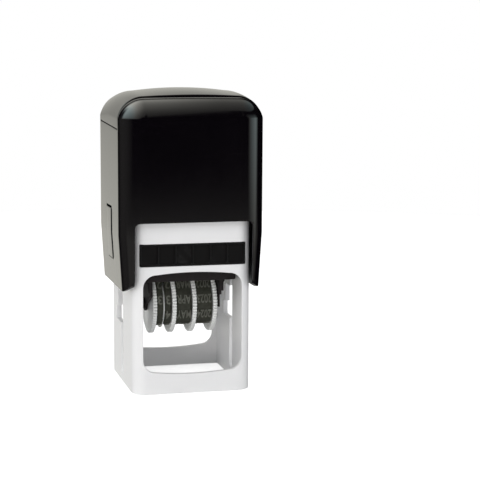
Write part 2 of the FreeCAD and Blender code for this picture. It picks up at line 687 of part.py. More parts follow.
def make_cap():
    cap = body("cap_shell")
    corners, arcs = crown("0", CAP_TAPER_HEAD)
    foot = f"({CAP_X} - cap_taper)"
    shell = outline([(f"-{foot}", CAP_FOOT), (foot, CAP_FOOT)] + corners, shifted(arcs, 2))
    pad(cap, "shell", "XZ_Plane", [shell], f"-{CAP_Y}", CAP_Y)
    wide, deep = f"({CAP_X} + overrun)", f"({CAP_Y} + overrun)"
    low = f"({CAP_FOOT} - overrun)"
    plan = [
        centred(f"2 * {wide}", f"-{deep}", deep),
        centred(f"2 * {CAP_X}", f"-{CAP_Y}", CAP_Y, "cap_edge"),
    ]
    cut(cap, "upright_edges", "XY_Plane", plan, low, f"{CAP_PEAK} + overrun")
    brow_foot = f"({BROW_HEAD} - cap_brow)"
    ends = [(f"-{deep}", brow_foot), (f"-{CAP_Y}", brow_foot)]
    brows = over_crown(BROW_Y, BROW_HEAD, ends, "cap_brow")
    cut(cap, "brows", "YZ_Plane", [brows], f"-{wide}", wide)
    inset = "(cover_thickness + cover_gap)"
    cut(cap, "cover_seat", "XZ_Plane", [outside_crown(inset, COVER_FOOT)], f"-{SEAT_Y}", SEAT_Y)
    seat_head = f"({crown_at(SEAT_Y)} - {inset})"
    seat = over_crown(SEAT_Y, seat_head, [], None)
    cut(cap, "seat_crown", "YZ_Plane", [seat], f"-{CROWN_X} - cover_gap", f"{CROWN_X} + cover_gap")
    bay = [centred(f"2 * {CAP_BAY_X}", f"-{CAP_BAY_Y}", CAP_BAY_Y, "cap_bay_corner")]
    cut(cap, "wide_bay", "XY_Plane", bay, low, f"{YOKE_HEAD} + cap_bay_clear")
    rim_wide = "frame_width + 2 * cap_head_clear"
    rim_bay = [centred(rim_wide, YOKE_HEAD, f"{FRAME_TOP} + {STROKE} + cap_rim_clear")]
    cut(cap, "rim_bay", "XZ_Plane", rim_bay, f"-{CAP_BAY_Y}", CAP_BAY_Y)
    narrow_bay = [centred(rim_wide, YOKE_HEAD, CAP_CEILING)]
    step = f"({CAP_BAY_Y} - cap_roof_step)"
    cut(cap, "narrow_bay", "XZ_Plane", narrow_bay, f"-{step}", step)
    skirt, skirt_head = f"({FRAME_X} - skirt_cover)", f"({FRAME_TOP} - skirt_lap)"
    opening = outline(
        [
            (f"-{skirt}", low),
            (skirt, low),
            (skirt, f"{skirt_head} - skirt_corner"),
            (f"{skirt} - skirt_corner", skirt_head),
            (f"-{skirt} + skirt_corner", skirt_head),
            (f"-{skirt}", f"{skirt_head} - skirt_corner"),
        ],
        {2: "skirt_corner", 4: "skirt_corner"},
    )
    cut(cap, "skirt_openings", "XZ_Plane", [opening], f"-{deep}", deep)
    slot = [
        centred(
            "button_width + 2 * button_gap",
            f"{BUTTON_FOOT} - button_gap",
            f"{BUTTON_HEAD} + button_gap",
        )
    ]
    cut(cap, "button_slots", "YZ_Plane", slot, f"-{wide}", wide)
    for name, side in (("front_heels", -1), ("rear_heels", 1)):
        toe = f"{side} * {deep}"
        rise = f"{side} * {CAP_Y}"
        run = f"{side} * ({CAP_Y} - heel_radius)"
        radius = "heel_radius" if side > 0 else "-heel_radius"
        heel = outline(
            [
                (run, CAP_FOOT),
                (rise, f"{CAP_FOOT} + heel_radius"),
                (toe, f"{CAP_FOOT} + heel_radius"),
                (toe, low),
                (run, low),
            ],
            {0: radius},
        )
        cut(cap, name, "YZ_Plane", [heel], f"-{wide}", wide)


def make_cover():
    """The index cover: a saddle over the cap's top that lies flush with it."""
    cover = body("index_cover")
    foot = f"({COVER_FOOT} + cover_gap)"
    outer, outer_arcs = crown("0", foot)
    inner, inner_arcs = crown("cover_thickness", foot)
    inner = inner[::-1]
    count = len(outer)
    back = {count + 4 - i: f"-{radius}" for i, radius in inner_arcs.items()}
    saddle = [outline(outer + inner, {**outer_arcs, **back})]
    pad(cover, "saddle", "XZ_Plane", saddle, f"-{COVER_Y}", COVER_Y)
    head, radius = crown_at(COVER_Y), CROWN_RADIUS
    band = outline(
        [
            (f"-{COVER_Y}", f"{head} - cover_thickness"),
            (COVER_Y, f"{head} - cover_thickness"),
            (COVER_Y, head),
            (f"-{COVER_Y}", head),
        ],
        {0: f"-{radius}", 2: radius},
    )
    pad(cover, "crown_band", "YZ_Plane", [band], f"-{CROWN_X}", CROWN_X)
    deep = f"({COVER_Y} + overrun)"
    cut(cover, "shoulders", "XZ_Plane", [outside_crown("0", foot)], f"-{deep}", deep)
    over = over_crown(COVER_Y, head, [], None)
    cut(cover, "crown", "YZ_Plane", [over], f"-{CAP_X}", CAP_X)


def make_buttons():
    """The lock buttons, whose faces follow the cap's taper."""
    root = f"({YOKE_OUTER} + button_root_clear)"
    face = f"({CAP_X} + button_proud)"
    lean = "(cap_taper * (1 - button_rise / cap_taper_height))"
    for name, side in (("lock_button_left", -1), ("lock_button_right", 1)):
        button = body(name)
        corners = [
            (f"{side} * {root}", BUTTON_FOOT),
            (f"{side} * ({face} - {lean})", BUTTON_FOOT),
            (f"{side} * {face}", CAP_TAPER_HEAD),
            (f"{side} * {face}", BUTTON_HEAD),
            (f"{side} * {root}", BUTTON_HEAD),
        ]
        pad(button, "key", "XZ_Plane", [outline(corners)], "-button_width / 2", "button_width / 2")


def make_yoke():
    """The inner slider: two arms outside the frame's walls, joined over its deck by the spring cup."""
    yoke = body("slider_yoke")
    arm, boss = "yoke_arm_width / 2", "(trunnion_radius + yoke_eye_wall)"
    corners = [
        (f"-{arm}", YOKE_HEAD),
        (f"-{arm}", f"{PIVOT} + yoke_arm_shoulder"),
        (f"-{boss}", PIVOT),
        ("0", f"{PIVOT} - {boss}"),
        (boss, PIVOT),
        (arm, f"{PIVOT} + yoke_arm_shoulder"),
        (arm, YOKE_HEAD),
    ]
    arms = [outline(corners, {2: boss, 3: boss})]
    plate = [centred(f"2 * {YOKE_OUTER}", f"-{YOKE_DEPTH} / 2", f"{YOKE_DEPTH} / 2")]
    pad(yoke, "plate", "XY_Plane", plate, YOKE_FOOT, YOKE_HEAD)
    pad(yoke, "right_arm", "YZ_Plane", arms, YOKE_INNER, YOKE_OUTER)
    pad(yoke, "left_arm", "YZ_Plane", arms, f"-{YOKE_OUTER}", f"-{YOKE_INNER}")
    pad(yoke, "cup", "XY_Plane", [circle("0", "0", CUP_RADIUS)], YOKE_FOOT, CAP_CEILING)
    bore = [circle("0", "0", CUP_BORE)]
    cut(yoke, "cup_bore", "XY_Plane", bore, f"{YOKE_FOOT} - overrun", CUP_CEILING)
    eye = [circle("0", PIVOT, "trunnion_radius + trunnion_clear")]
    cut(yoke, "eyes", "YZ_Plane", eye, f"-{YOKE_OUTER} - overrun", f"{YOKE_OUTER} + overrun")


def arc_from(start, way, end):
    """The arc that leaves start along way and ends at end."""
    chord = end - start
    along = chord * (chord.dot(way) / chord.dot(chord))
    sideways = way - along
    turn = math.atan2(sideways.Length, chord.dot(way) / chord.Length)
    lift = chord.Length / 2 * math.tan(turn / 2)
    crest = start + chord * 0.5 + sideways.normalize() * lift
    return Part.Arc(start, crest, end).toShape()


def make_spring():
    """The return spring: a helix of biarcs, one to each quarter turn."""
    radius, wire = value("spring_radius"), value("spring_wire")
    low = value(DECK_TOP) + wire / 2
    high = value(CUP_CEILING) - wire / 2
    quarters = 4 * round(value("spring_turns"))
    slope = (high - low) / (quarters * math.pi / 2)

    def place(step):
        angle = step * math.pi / 2
        return FreeCAD.Vector(radius * math.cos(angle), radius * math.sin(angle), low + slope * angle)

    def heading(step):
        angle = step * math.pi / 2
        return FreeCAD.Vector(-radius * math.sin(angle), radius * math.cos(angle), slope).normalize()

    edges = []
    for step in range(quarters):
        start, end = place(step), place(step + 1)
        leave, arrive = heading(step), heading(step + 1)
        across = end - start
        both = leave + arrive
        bend = 2 * (1 - leave.dot(arrive))
        reach = (-across.dot(both) + math.sqrt(across.dot(both) ** 2 + bend * across.dot(across))) / bend
        knot = (start + leave * reach + end - arrive * reach) * 0.5
        way_on = (end - arrive * reach - knot).normalize()
        edges += [arc_from(start, leave, knot), arc_from(knot, way_on, end)]
    path = Part.Wire(edges)
    section = Part.Wire([Part.Circle(place(0), heading(0), wire / 2).toShape()])
    tube = Part.BRepOffsetAPI.MakePipeShell(path)
    tube.add(section)
    tube.build()
    tube.makeSolid()
    spring = doc.addObject("Part::Feature", "return_spring")
    spring.Label = "return_spring"
    spring.Shape = tube.shape()
    spring.Placement = FreeCAD.Placement()
    print(f"return_spring: {quarters // 4} turns, gap between turns {slope * 2 * math.pi - wire:.2f} mm")
    plain = math.pi * wire**2 / 4 * path.Length
    print(f"return_spring: volume over section times length {spring.Shape.Volume / plain:.4f}")
    nodes.append(spring)


def main():
    make_frame()
    make_deck()
    make_tray()
    make_rotor()
    make_cheeks()
    make_plates()
    make_anvil()
    make_date_works()
    make_cap()
    make_cover()
    make_buttons()
    make_yoke()
    make_spring()
    doc.recompute()
    for item in doc.Objects:
        if "Invalid" in item.State or "Error" in item.State:
            raise RuntimeError(f"{item.Name} failed: {item.State}")
    for node in nodes:
        shape = node.Shape
        if shape.isNull() or not shape.isValid() or not shape.Solids:
            raise RuntimeError(f"{node.Label} has no sound shape")
        box = shape.BoundBox
        low = f"{box.XMin:.2f} {box.YMin:.2f} {box.ZMin:.2f}"
        reach = f"from {low} to {box.XMax:.2f} {box.YMax:.2f} {box.ZMax:.2f}"
        print(f"{node.Label}: {len(shape.Solids)} solid, {shape.Volume:.1f} mm3, {reach}")
    for node in nodes:
        node.Shape.exportStep(f"parts/{node.Label}.step")


main()
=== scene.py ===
import json
import math

import bmesh
import bpy
import numpy as np
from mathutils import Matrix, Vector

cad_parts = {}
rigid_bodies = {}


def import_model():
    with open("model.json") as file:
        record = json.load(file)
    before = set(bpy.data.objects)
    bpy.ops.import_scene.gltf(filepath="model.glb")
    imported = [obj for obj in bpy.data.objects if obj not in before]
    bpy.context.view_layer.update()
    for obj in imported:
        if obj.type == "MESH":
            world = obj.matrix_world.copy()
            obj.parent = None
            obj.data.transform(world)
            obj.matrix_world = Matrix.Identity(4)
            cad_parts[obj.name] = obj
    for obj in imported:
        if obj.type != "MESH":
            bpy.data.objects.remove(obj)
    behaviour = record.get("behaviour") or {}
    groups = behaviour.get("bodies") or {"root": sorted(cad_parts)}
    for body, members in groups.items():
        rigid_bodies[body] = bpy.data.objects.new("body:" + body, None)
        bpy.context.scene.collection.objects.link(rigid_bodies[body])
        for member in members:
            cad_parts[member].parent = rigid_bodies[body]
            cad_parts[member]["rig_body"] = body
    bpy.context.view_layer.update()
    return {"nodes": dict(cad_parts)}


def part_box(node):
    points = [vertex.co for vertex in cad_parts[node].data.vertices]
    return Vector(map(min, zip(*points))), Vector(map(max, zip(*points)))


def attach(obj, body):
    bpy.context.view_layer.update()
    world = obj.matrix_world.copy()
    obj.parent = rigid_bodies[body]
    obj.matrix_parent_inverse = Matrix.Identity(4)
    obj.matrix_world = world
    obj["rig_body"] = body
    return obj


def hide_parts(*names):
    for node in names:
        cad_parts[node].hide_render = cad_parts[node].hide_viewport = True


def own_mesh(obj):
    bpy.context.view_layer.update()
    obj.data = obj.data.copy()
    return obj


bl_info = {
    "name": "Date stamp",
    "version": (1, 0, 0),
    "blender": (4, 5, 0),
    "location": "View3D > Sidebar > Date stamp",
    "description": "Dresses the packed date stamp: press cap, frame, ink pad tray, date works and studio",
    "category": "Object",
}

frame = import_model()
MM = 0.001


# sizes and colours that a user would change


def length(name, description, default):
    return bpy.props.FloatProperty(name=name, description=description, default=default, unit="LENGTH")


def tint(name, description, default):
    return bpy.props.FloatVectorProperty(
        name=name, description=description, default=default, subtype="COLOR")


class StampSizes(bpy.types.PropertyGroup):
    edge_round: length("Edge rounding", "Radius on the moulded edges", 0.0002)
    cap_round: length("Cap rounding", "Radius of the cap's upright edges and brows", 0.0077)
    cap_crown: length("Cap crown", "How far the cap's top falls from its middle to the cover's ends", 0.0024)
    rim_step: length("Rim step", "How far the cap's brow lies under the cover's edge", 0.0008)
    letter_height: length("Character height", "Height of a raised date character", 0.0034)
    letter_relief: length("Character relief", "How far a date character stands off its band", 0.00035)
    felt_crown: length("Felt crown", "How far the ink pad swells below its edge", 0.0002)
    spring_turns: bpy.props.FloatProperty(
        name="Spring turns", description="Free turns of the return spring", default=7.0)


class StampColours(bpy.types.PropertyGroup):
    cap: tint("Cap", "Polished black plastic", (0.0018, 0.0012, 0.0022))
    shell: tint("Frame", "Light grey plastic", (0.80, 0.80, 0.81))
    tray: tint("Tray", "Black plastic of the pad tray", (0.0042, 0.0036, 0.0042))
    holder: tint("Holder", "Black plastic of the rotor", (0.020, 0.016, 0.017))
    band: tint("Bands", "Rubber of the date bands", (0.029, 0.030, 0.022))
    character: tint("Characters", "Worn tops of the date characters", (0.095, 0.097, 0.080))
    wheel: tint("Wheels", "Light grey plastic of the setting wheels", (0.86, 0.87, 0.86))
    felt: tint("Felt", "Inked felt", (0.022, 0.022, 0.036))
    steel: tint("Steel", "Drawn steel", (0.62, 0.62, 0.63))
    floor: tint("Floor", "Plain pale floor", (0.90, 0.90, 0.90))


def sizes():
    return bpy.context.scene.stamp_sizes


def colours():
    return bpy.context.scene.stamp_colours


# shader node groups


class Nodes:
    """Short calls for nodes."""

    def __init__(self, tree):
        self.tree = tree
        self.link = tree.links.new

    def add(self, kind, inputs=None, **settings):
        node = self.tree.nodes.new(kind)
        for key, setting in settings.items():
            setattr(node, key, setting)
        for key, source in (inputs or {}).items():
            if isinstance(source, bpy.types.NodeSocket):
                self.link(source, node.inputs[key])
            else:
                node.inputs[key].default_value = source
        return node

    def group(self, name, inputs):
        """The outputs of a shader group."""
        return self.add("ShaderNodeGroup", inputs, node_tree=bpy.data.node_groups[name]).outputs

    def math(self, operation, first, second=0.0, clamp=False):
        keys = {0: first, 1: second}
        return self.add("ShaderNodeMath", keys, operation=operation, use_clamp=clamp).outputs[0]

    def times(self, *factors, clamp=False):
        """The product of the factors."""
        made = factors[0]
        for factor in factors[1:]:
            made = self.math("MULTIPLY", made, factor, clamp)
        return made

    def spread(self, source, low, high, out_low=0.0, out_high=1.0):
        """Maps a range to another and keeps within it."""
        keys = {"Value": source, "From Min": low, "From Max": high, "To Min": out_low, "To Max": out_high}
        return self.add("ShaderNodeMapRange", keys).outputs["Result"]

    def mix(self, share, first, second):
        """A colour between two. The node's inputs 6 and 7 and its output 2 are its colours."""
        first, second = (c if isinstance(c, bpy.types.NodeSocket) else (*c, 1.0) for c in (first, second))
        return self.add("ShaderNodeMix", {0: share, 6: first, 7: second}, data_type="RGBA").outputs[2]

    def noise(self, vector, scale=1.0, detail=3.0, roughness=0.5):
        keys = {"Vector": vector, "Scale": scale, "Detail": detail, "Roughness": roughness}
        return self.add("ShaderNodeTexNoise", keys).outputs["Fac"]

    def place(self):
        return self.add("ShaderNodeTexCoord").outputs["Object"]

    def stretch(self, place, scale, rotation=(0.0, 0.0, 0.0)):
        """The place turned and scaled apart on each axis, for noise in lines."""
        keys = {"Vector": place, "Rotation": rotation, "Scale": scale}
        return self.add("ShaderNodeMapping", keys).outputs[0]

    def bump(self, height, distance):
        keys = {"Height": height, "Strength": 1.0, "Distance": distance}
        return self.add("ShaderNodeBump", keys).outputs["Normal"]

    def seen_by(self, *kinds):
        """1 for the named kinds of ray, 0 for all others."""
        rays = self.add("ShaderNodeLightPath").outputs
        made = rays[kinds[0]]
        for kind in kinds[1:]:
            made = self.math("MAXIMUM", made, rays[kind])
        return made


def new_group(name, inputs, *outputs):
    """A shader group with float inputs, given as name to default, and float outputs, given by name."""
    group = bpy.data.node_groups.new(name, "ShaderNodeTree")
    for key, default in inputs.items():
        socket = group.interface.new_socket(key, in_out="INPUT", socket_type="NodeSocketFloat")
        socket.default_value = default
    for key in outputs:
        group.interface.new_socket(key, in_out="OUTPUT", socket_type="NodeSocketFloat")
    n = Nodes(group)
    return n, n.add("NodeGroupInput").outputs, n.add("NodeGroupOutput").inputs


def moulded_group(flow_share=0.35):
    """Moulded plastic: a fine spark-eroded grain, slow unevenness from shrinkage, flow lines along Z."""
    n, source, sink = new_group(
        "moulded grain", {"Grain scale": 4000.0, "Grain": 0.5, "Sink": 0.5}, "Height", "Tone")
    place = n.place()
    fine = n.noise(place, source["Grain scale"], detail=2.0, roughness=0.6)
    slow = n.noise(place, scale=55.0, detail=2.0, roughness=0.4)
    flow = n.noise(n.stretch(place, (900.0, 900.0, 60.0)))
    n.link(n.math("ADD", n.times(fine, source["Grain"]), n.times(slow, source["Sink"])), sink["Height"])
    n.link(n.math("ADD", n.times(flow, flow_share), n.times(slow, 1 - flow_share)), sink["Tone"])


def wear_and_corner_shade_group():
    """Rubbed edges: where the surface is convex, broken up by noise; and painted shade in the corners where
    it is concave.
    """
    n, source, sink = new_group("edge wear and painted corner shade", {"Amount": 0.5, "Scale": 600.0}, "Mask", "Painted corner shade")
    point = n.add("ShaderNodeNewGeometry").outputs["Pointiness"]
    convex = n.spread(point, low=0.515, high=0.60)
    patches = n.noise(n.place(), source["Scale"], detail=4.0, roughness=0.65)
    worn = n.times(convex, n.spread(patches, low=0.38, high=0.62), source["Amount"], clamp=True)
    n.link(worn, sink["Mask"])
    # painted shade: this output marks the concave corners, where the colour is darkened
    n.link(n.spread(point, low=0.49, high=0.42), sink["Painted corner shade"])


def dust_group(film_share=0.35):
    """Dust: specks and a thin film that settle where the surface looks up."""
    n, source, sink = new_group("settled dust", {"Amount": 0.3, "Specks": 2600.0}, "Mask")
    place = n.place()
    normal = n.add("ShaderNodeNewGeometry").outputs["Normal"]
    up = n.add("ShaderNodeSeparateXYZ", {0: normal}).outputs["Z"]
    up = n.spread(up, low=0.15, high=0.95, out_low=0.12)
    specks = n.noise(place, source["Specks"], detail=1.0, roughness=0.4)
    film = n.noise(place, scale=120.0, detail=5.0, roughness=0.6)
    film = n.times(n.spread(film, low=0.40, high=0.75), film_share)
    both = n.math("MAXIMUM", n.spread(specks, low=0.70, high=0.80), film)
    n.link(n.times(both, up, source["Amount"], clamp=True), sink["Mask"])


def scratch_group():
    """Hairline scratches: stretched noise, thresholded thin, in two directions."""
    n, source, sink = new_group("hairlines", {"Amount": 0.3}, "Mask")
    place, lines = n.place(), []
    for turn, scale in ((0.5, (60.0, 60.0, 3400.0)), (-0.9, (2800.0, 40.0, 50.0))):
        stretched = n.stretch(place, scale, (0.3, turn, 0.4))
        lines.append(n.spread(n.noise(stretched, detail=2.0), low=0.70, high=0.74))
    n.link(n.times(n.math("MAXIMUM", *lines), source["Amount"]), sink["Mask"])


# materials

finishes = {}
DUST_COLOUR = (0.42, 0.41, 0.39)
# how dark the painted shade in concave corners makes the colour, then how much worn edges lighten it
CORNER_SHADE_DARKNESS, WORN_GAIN, WORN_LIFT = 0.35, 1.8, 0.02
TONE_ROUGH, WORN_ROUGH, DUST_ROUGH, SCRATCH_ROUGH = 0.10, 0.15, 0.5, 0.25
SCRATCH_DEPTH = 0.5


def new_material(name):
    """A material, the short calls for its nodes, and its shader's inputs."""
    material = bpy.data.materials.new(name)
    material.use_nodes = True
    return material, Nodes(material.node_tree), material.node_tree.nodes["Principled BSDF"].inputs


def moulded(name, colour, roughness, grain=0.5, grain_scale=4000.0, sink=0.3, relief=0.00002, wear=0.3,
            dust=0.2, scratches=0.0, worn_to=None, tone=0.06, corner_shade=0.25, shine=0.5):
    """Moulded plastic or rubber: colour varied a little, painted shade in its concave corners, rubbed at the
    edges, dusty where it looks up.
    """
    finishes[name], n, shader = new_material(name)
    skin = n.group("moulded grain", {"Grain scale": grain_scale, "Grain": grain, "Sink": sink})
    edge = n.group("edge wear and painted corner shade", {"Amount": wear})
    film = n.group("settled dust", {"Amount": dust})
    darker = tuple(c * (1 - tone) for c in colour)
    lighter = tuple(min(1.0, c * (1 + tone)) for c in colour)
    worn_to = worn_to or tuple(min(1.0, c * WORN_GAIN + WORN_LIFT) for c in colour)
    base = n.mix(skin["Tone"], darker, lighter)
    # painted shade: the colour darkens in the concave corners, by the finish's corner share
    base = n.mix(n.times(edge["Painted corner shade"], corner_shade), base, tuple(c * CORNER_SHADE_DARKNESS for c in colour))
    base = n.mix(edge["Mask"], base, worn_to)
    base = n.mix(film["Mask"], base, DUST_COLOUR)
    n.link(base, shader["Base Color"])
    rough = n.math("ADD", n.times(skin["Tone"], TONE_ROUGH), roughness - TONE_ROUGH / 2)
    rough = n.math("ADD", rough, n.times(edge["Mask"], WORN_ROUGH))
    rough = n.math("ADD", rough, n.times(film["Mask"], DUST_ROUGH), clamp=True)
    height = skin["Height"]
    if scratches:
        lines = n.group("hairlines", {"Amount": scratches})
        rough = n.math("ADD", rough, n.times(lines["Mask"], SCRATCH_ROUGH), clamp=True)
        height = n.math("SUBTRACT", height, n.times(lines["Mask"], SCRATCH_DEPTH))
    n.link(rough, shader["Roughness"])
    n.link(n.bump(height, relief), shader["Normal"])
    shader["Specular IOR Level"].default_value = shine


def drawn_steel(name, colour):
    """Steel wire and pins: lines drawn along the turning direction, with small dull spots."""
    least_rough, line_rough, spot_rough, spot_shade, relief = 0.18, 0.15, 0.2, 0.6, 0.00001
    finishes[name], n, shader = new_material(name)
    place = n.place()
    lines = n.noise(n.stretch(place, (5000.0, 300.0, 300.0)))
    spots = n.spread(n.noise(place, scale=500.0, detail=4.0), low=0.55, high=0.75)
    n.link(n.mix(spots, tuple(colour), tuple(c * spot_shade for c in colour)), shader["Base Color"])
    rough = n.math("ADD", n.times(lines, line_rough), n.times(spots, spot_rough))
    n.link(n.math("ADD", rough, least_rough), shader["Roughness"])
    shader["Metallic"].default_value = 1.0
    n.link(n.bump(lines, relief), shader["Normal"])


def inked_felt(name, colour):
    """Pressed felt soaked with ink: matted fibres, wetter in patches."""
    dry_rough, wet_rough, dark, light, relief = 0.95, 0.62, 0.5, 1.9, 0.00015
    finishes[name], n, shader = new_material(name)
    place = n.place()
    fibres = n.noise(n.stretch(place, (2200.0, 3000.0, 2600.0)), detail=6.0, roughness=0.7)
    wet = n.spread(n.noise(place, scale=160.0), low=0.35, high=0.65)
    base = n.mix(fibres, tuple(c * dark for c in colour), tuple(c * light for c in colour))
    n.link(base, shader["Base Color"])
    n.link(n.spread(wet, 0.0, 1.0, dry_rough, wet_rough), shader["Roughness"])
    shader["Sheen Weight"].default_value = 0.25
    n.link(n.bump(fibres, relief), shader["Normal"])


class STAMP_OT_finishes(bpy.types.Operator):
    """Builds the shader groups and the finishes that every piece uses"""

    bl_idname = "stamp.finishes"
    bl_label = "Finishes"

    def execute(self, context):
        moulded_group()
        wear_and_corner_shade_group()
        dust_group()
        scratch_group()
        c = colours()
        # each finish's corner share sets how much painted shade darkens its concave corners
        moulded("polished black", c.cap, 0.10, grain=0.04, sink=0.9, relief=0.00001, wear=0.10, dust=0.03,
                scratches=0.25, tone=0.15, corner_shade=0.0)
        moulded("light shell", c.shell, 0.36, sink=0.4, relief=0.00001, wear=0.10, dust=0.05,
                worn_to=(0.86, 0.86, 0.86), tone=0.02, corner_shade=0.18)
        moulded("black tray", c.tray, 0.42, grain=0.7, relief=0.000012, wear=0.35, dust=0.03, tone=0.2,
                shine=0.2)
        moulded("black holder", c.holder, 0.55, grain=0.8, wear=0.25, dust=0.06, tone=0.2, shine=0.2)
        moulded("grey plate", (0.10, 0.10, 0.10), 0.45, grain=0.6, wear=0.25, dust=0.1)
        moulded("band rubber", c.band, 0.62, grain=0.9, grain_scale=5200.0, relief=0.00003, wear=0.5,
                dust=0.15, worn_to=(0.12, 0.125, 0.105), tone=0.25, corner_shade=0.85, shine=0.3)
        moulded("date characters", c.character, 0.55, grain=0.9, grain_scale=5200.0, wear=0.6, dust=0.1,
                worn_to=(0.19, 0.195, 0.17), tone=0.25, corner_shade=0.3, shine=0.3)
        moulded("die rubber", (0.13, 0.13, 0.14), 0.6, grain=0.8, wear=0.5, dust=0.1,
                worn_to=(0.05, 0.05, 0.09), tone=0.15)
        moulded("wheel plastic", c.wheel, 0.40, relief=0.00001, wear=0.2, dust=0.05,
                worn_to=(0.90, 0.90, 0.90), tone=0.03, corner_shade=0.7)
        drawn_steel("drawn steel", c.steel)
        inked_felt("inked felt", c.felt)
        return {"FINISHED"}


# meshes


MERGE, CAD_MERGE, CUT_MERGE, SPECK = 1e-7, 2e-6, 3e-5, 1e-8
FLAT, EDGE_ANGLE, FLAT_WEIGHT = 0.4, 32.0, 80


def new_object(name, data):
    made = bpy.data.objects.new(name, data)
    bpy.context.scene.collection.objects.link(made)
    return made


def final_mesh(made):
    """A new mesh of an object, as its modifiers or its text settings make it."""
    bpy.context.view_layer.update()
    return bpy.data.meshes.new_from_object(made.evaluated_get(bpy.context.evaluated_depsgraph_get()))


def unit(rows):
    """Each row brought to length 1."""
    return rows / np.linalg.norm(rows, axis=-1, keepdims=True)


def put(name, points, faces, material):
    """A piece from an array of points in mm and lists or arrays of faces."""
    mesh = bpy.data.meshes.new(name)
    flat = [part.tolist() if isinstance(part, np.ndarray) else part for part in faces]
    joined = [tuple(face) for part in flat for face in part]
    mesh.from_pydata((np.asarray(points, float) * MM).tolist(), [], joined)
    mesh.validate()
    piece = new_object(name, mesh)
    mesh.materials.append(finishes[material])
    return piece


def quads(rows, columns, close_rows=False, close_columns=False, start=0):
    """The faces of a grid of points numbered row by row."""
    i = np.arange(rows if close_rows else rows - 1)
    j = np.arange(columns if close_columns else columns - 1)
    i, j = np.meshgrid(i, j, indexing="ij")
    row, next_row, next_j = i * columns, (i + 1) % rows * columns, (j + 1) % columns
    made = np.stack([row + j, row + next_j, next_row + next_j, next_row + j], -1)
    return made.reshape(-1, 4) + start


def clean(mesh, distance=MERGE, outward=False, flat=None):
    """Merges doubles, and where asked melts flat neighbours together or turns the faces outwards."""
    work = bmesh.new()
    work.from_mesh(mesh)
    bmesh.ops.remove_doubles(work, verts=work.verts, dist=distance)
    bmesh.ops.dissolve_degenerate(work, edges=work.edges, dist=SPECK)
    if flat:
        bmesh.ops.dissolve_limit(work, angle_limit=math.radians(flat), verts=work.verts, edges=work.edges)
    if outward:
        bmesh.ops.recalc_face_normals(work, faces=work.faces)
    work.to_mesh(mesh)
    work.free()


def join_slivers(mesh, width=0.0007, turn=5.0, least=0.002, upright=0.1):
    """Joins long upright faces narrower than width that turn little from each other, so that the edge at
    their ends can be rounded."""
    work = bmesh.new()
    work.from_mesh(mesh)
    narrow = {face for face in work.faces if abs(face.normal.z) < upright
              and face.calc_area() < width * max(edge.calc_length() for edge in face.edges)}
    edges = [edge for edge in work.edges if len(edge.link_faces) == 2 and edge.calc_length() > least
             and narrow.issuperset(edge.link_faces)]
    bmesh.ops.dissolve_limit(work, angle_limit=math.radians(turn), verts=[], edges=edges)
    work.to_mesh(mesh)
    work.free()


def soften(piece, width, segments=2, sharp=EDGE_ANGLE):
    """Rounds the sharp edges, or only marks them where width is 0, and keeps the flats flat in shade."""
    piece.data.shade_smooth()
    if width:
        bevel = piece.modifiers.new("rounded edges", "BEVEL")
        bevel.width = width
        bevel.segments = segments
        bevel.limit_method = "ANGLE"
        bevel.angle_limit = math.radians(EDGE_ANGLE)
        bevel.use_clamp_overlap = False
        bevel.miter_outer = "MITER_ARC"
    else:
        piece.data.set_sharp_from_angle(angle=math.radians(sharp))
    weigh = piece.modifiers.new("flat shading", "WEIGHTED_NORMAL")
    weigh.keep_sharp = True
    weigh.weight = FLAT_WEIGHT


def settle(piece, node):
    """The piece stands for a node: it joins the node's body, and the node is hidden."""
    body = frame["nodes"][node]["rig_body"]
    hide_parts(node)
    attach(piece, body)


def rounded_copy(node, name, material, width):
    """A copy of a node's mesh, merged, its flats melted together, its sharp edges rounded."""
    mesh = frame["nodes"][node].data.copy()
    mesh.name = name
    piece = new_object(name, mesh)
    mesh.materials.clear()
    mesh.materials.append(finishes[material])
    clean(mesh, CAD_MERGE, flat=FLAT)
    soften(piece, width)
    return piece


def dress(node, name, material, width):
    """Settles a rounded copy in its node's place."""
    settle(rounded_copy(node, name, material, width), node)


def prism(points, axis, low, high):
    """A closed prism: an outline in the two axes that are not its own, from low to high along its own."""
    points = np.asarray(points, float)
    count = len(points)
    ring = np.arange(count)
    both = [np.insert(points, axis, level, axis=1) for level in (low, high)]
    sides = np.stack([ring, (ring + 1) % count, (ring + 1) % count + count, ring + count], -1)
    return np.concatenate(both), [sides, [ring[::-1].tolist(), (ring + count).tolist()]]


def box_outline(left, right, low, high, radius=0.0, steps=8):
    """A rectangle with rounded corners: each corner is a quarter circle of the radius."""
    if not radius:
        return np.array([(left, low), (right, low), (right, high), (left, high)], float)
    turn = np.linspace(0, math.pi / 2, steps + 1)
    centres = [(x, z) for x in (right - radius, left + radius) for z in (low + radius, high - radius)]
    rings = []
    for quarter, corner in enumerate((0, 1, 3, 2)):
        x, z = centres[corner]
        angle = turn + (quarter - 1) * math.pi / 2
        rings.append(np.stack([x + radius * np.cos(angle), z + radius * np.sin(angle)], -1))
    return np.concatenate(rings)


def carve(piece, cutters):
    """Takes closed shapes away from a piece and applies the result."""
    for number, (points, faces) in enumerate(cutters):
        tool = put(f"tool_{number}", points, faces, "polished black")
        clean(tool.data, outward=True)
        cut = piece.modifiers.new("cut", "BOOLEAN")
        cut.operation = "DIFFERENCE"
        cut.solver = "EXACT"
        cut.object = tool
        made = final_mesh(piece)
        piece.modifiers.clear()
        old, piece.data = piece.data, made
        bpy.data.meshes.remove(old)
        bpy.data.meshes.remove(tool.data)
    piece.data.materials.clear()
    piece.data.materials.append(finishes["polished black"])


# cap, cover and lock buttons

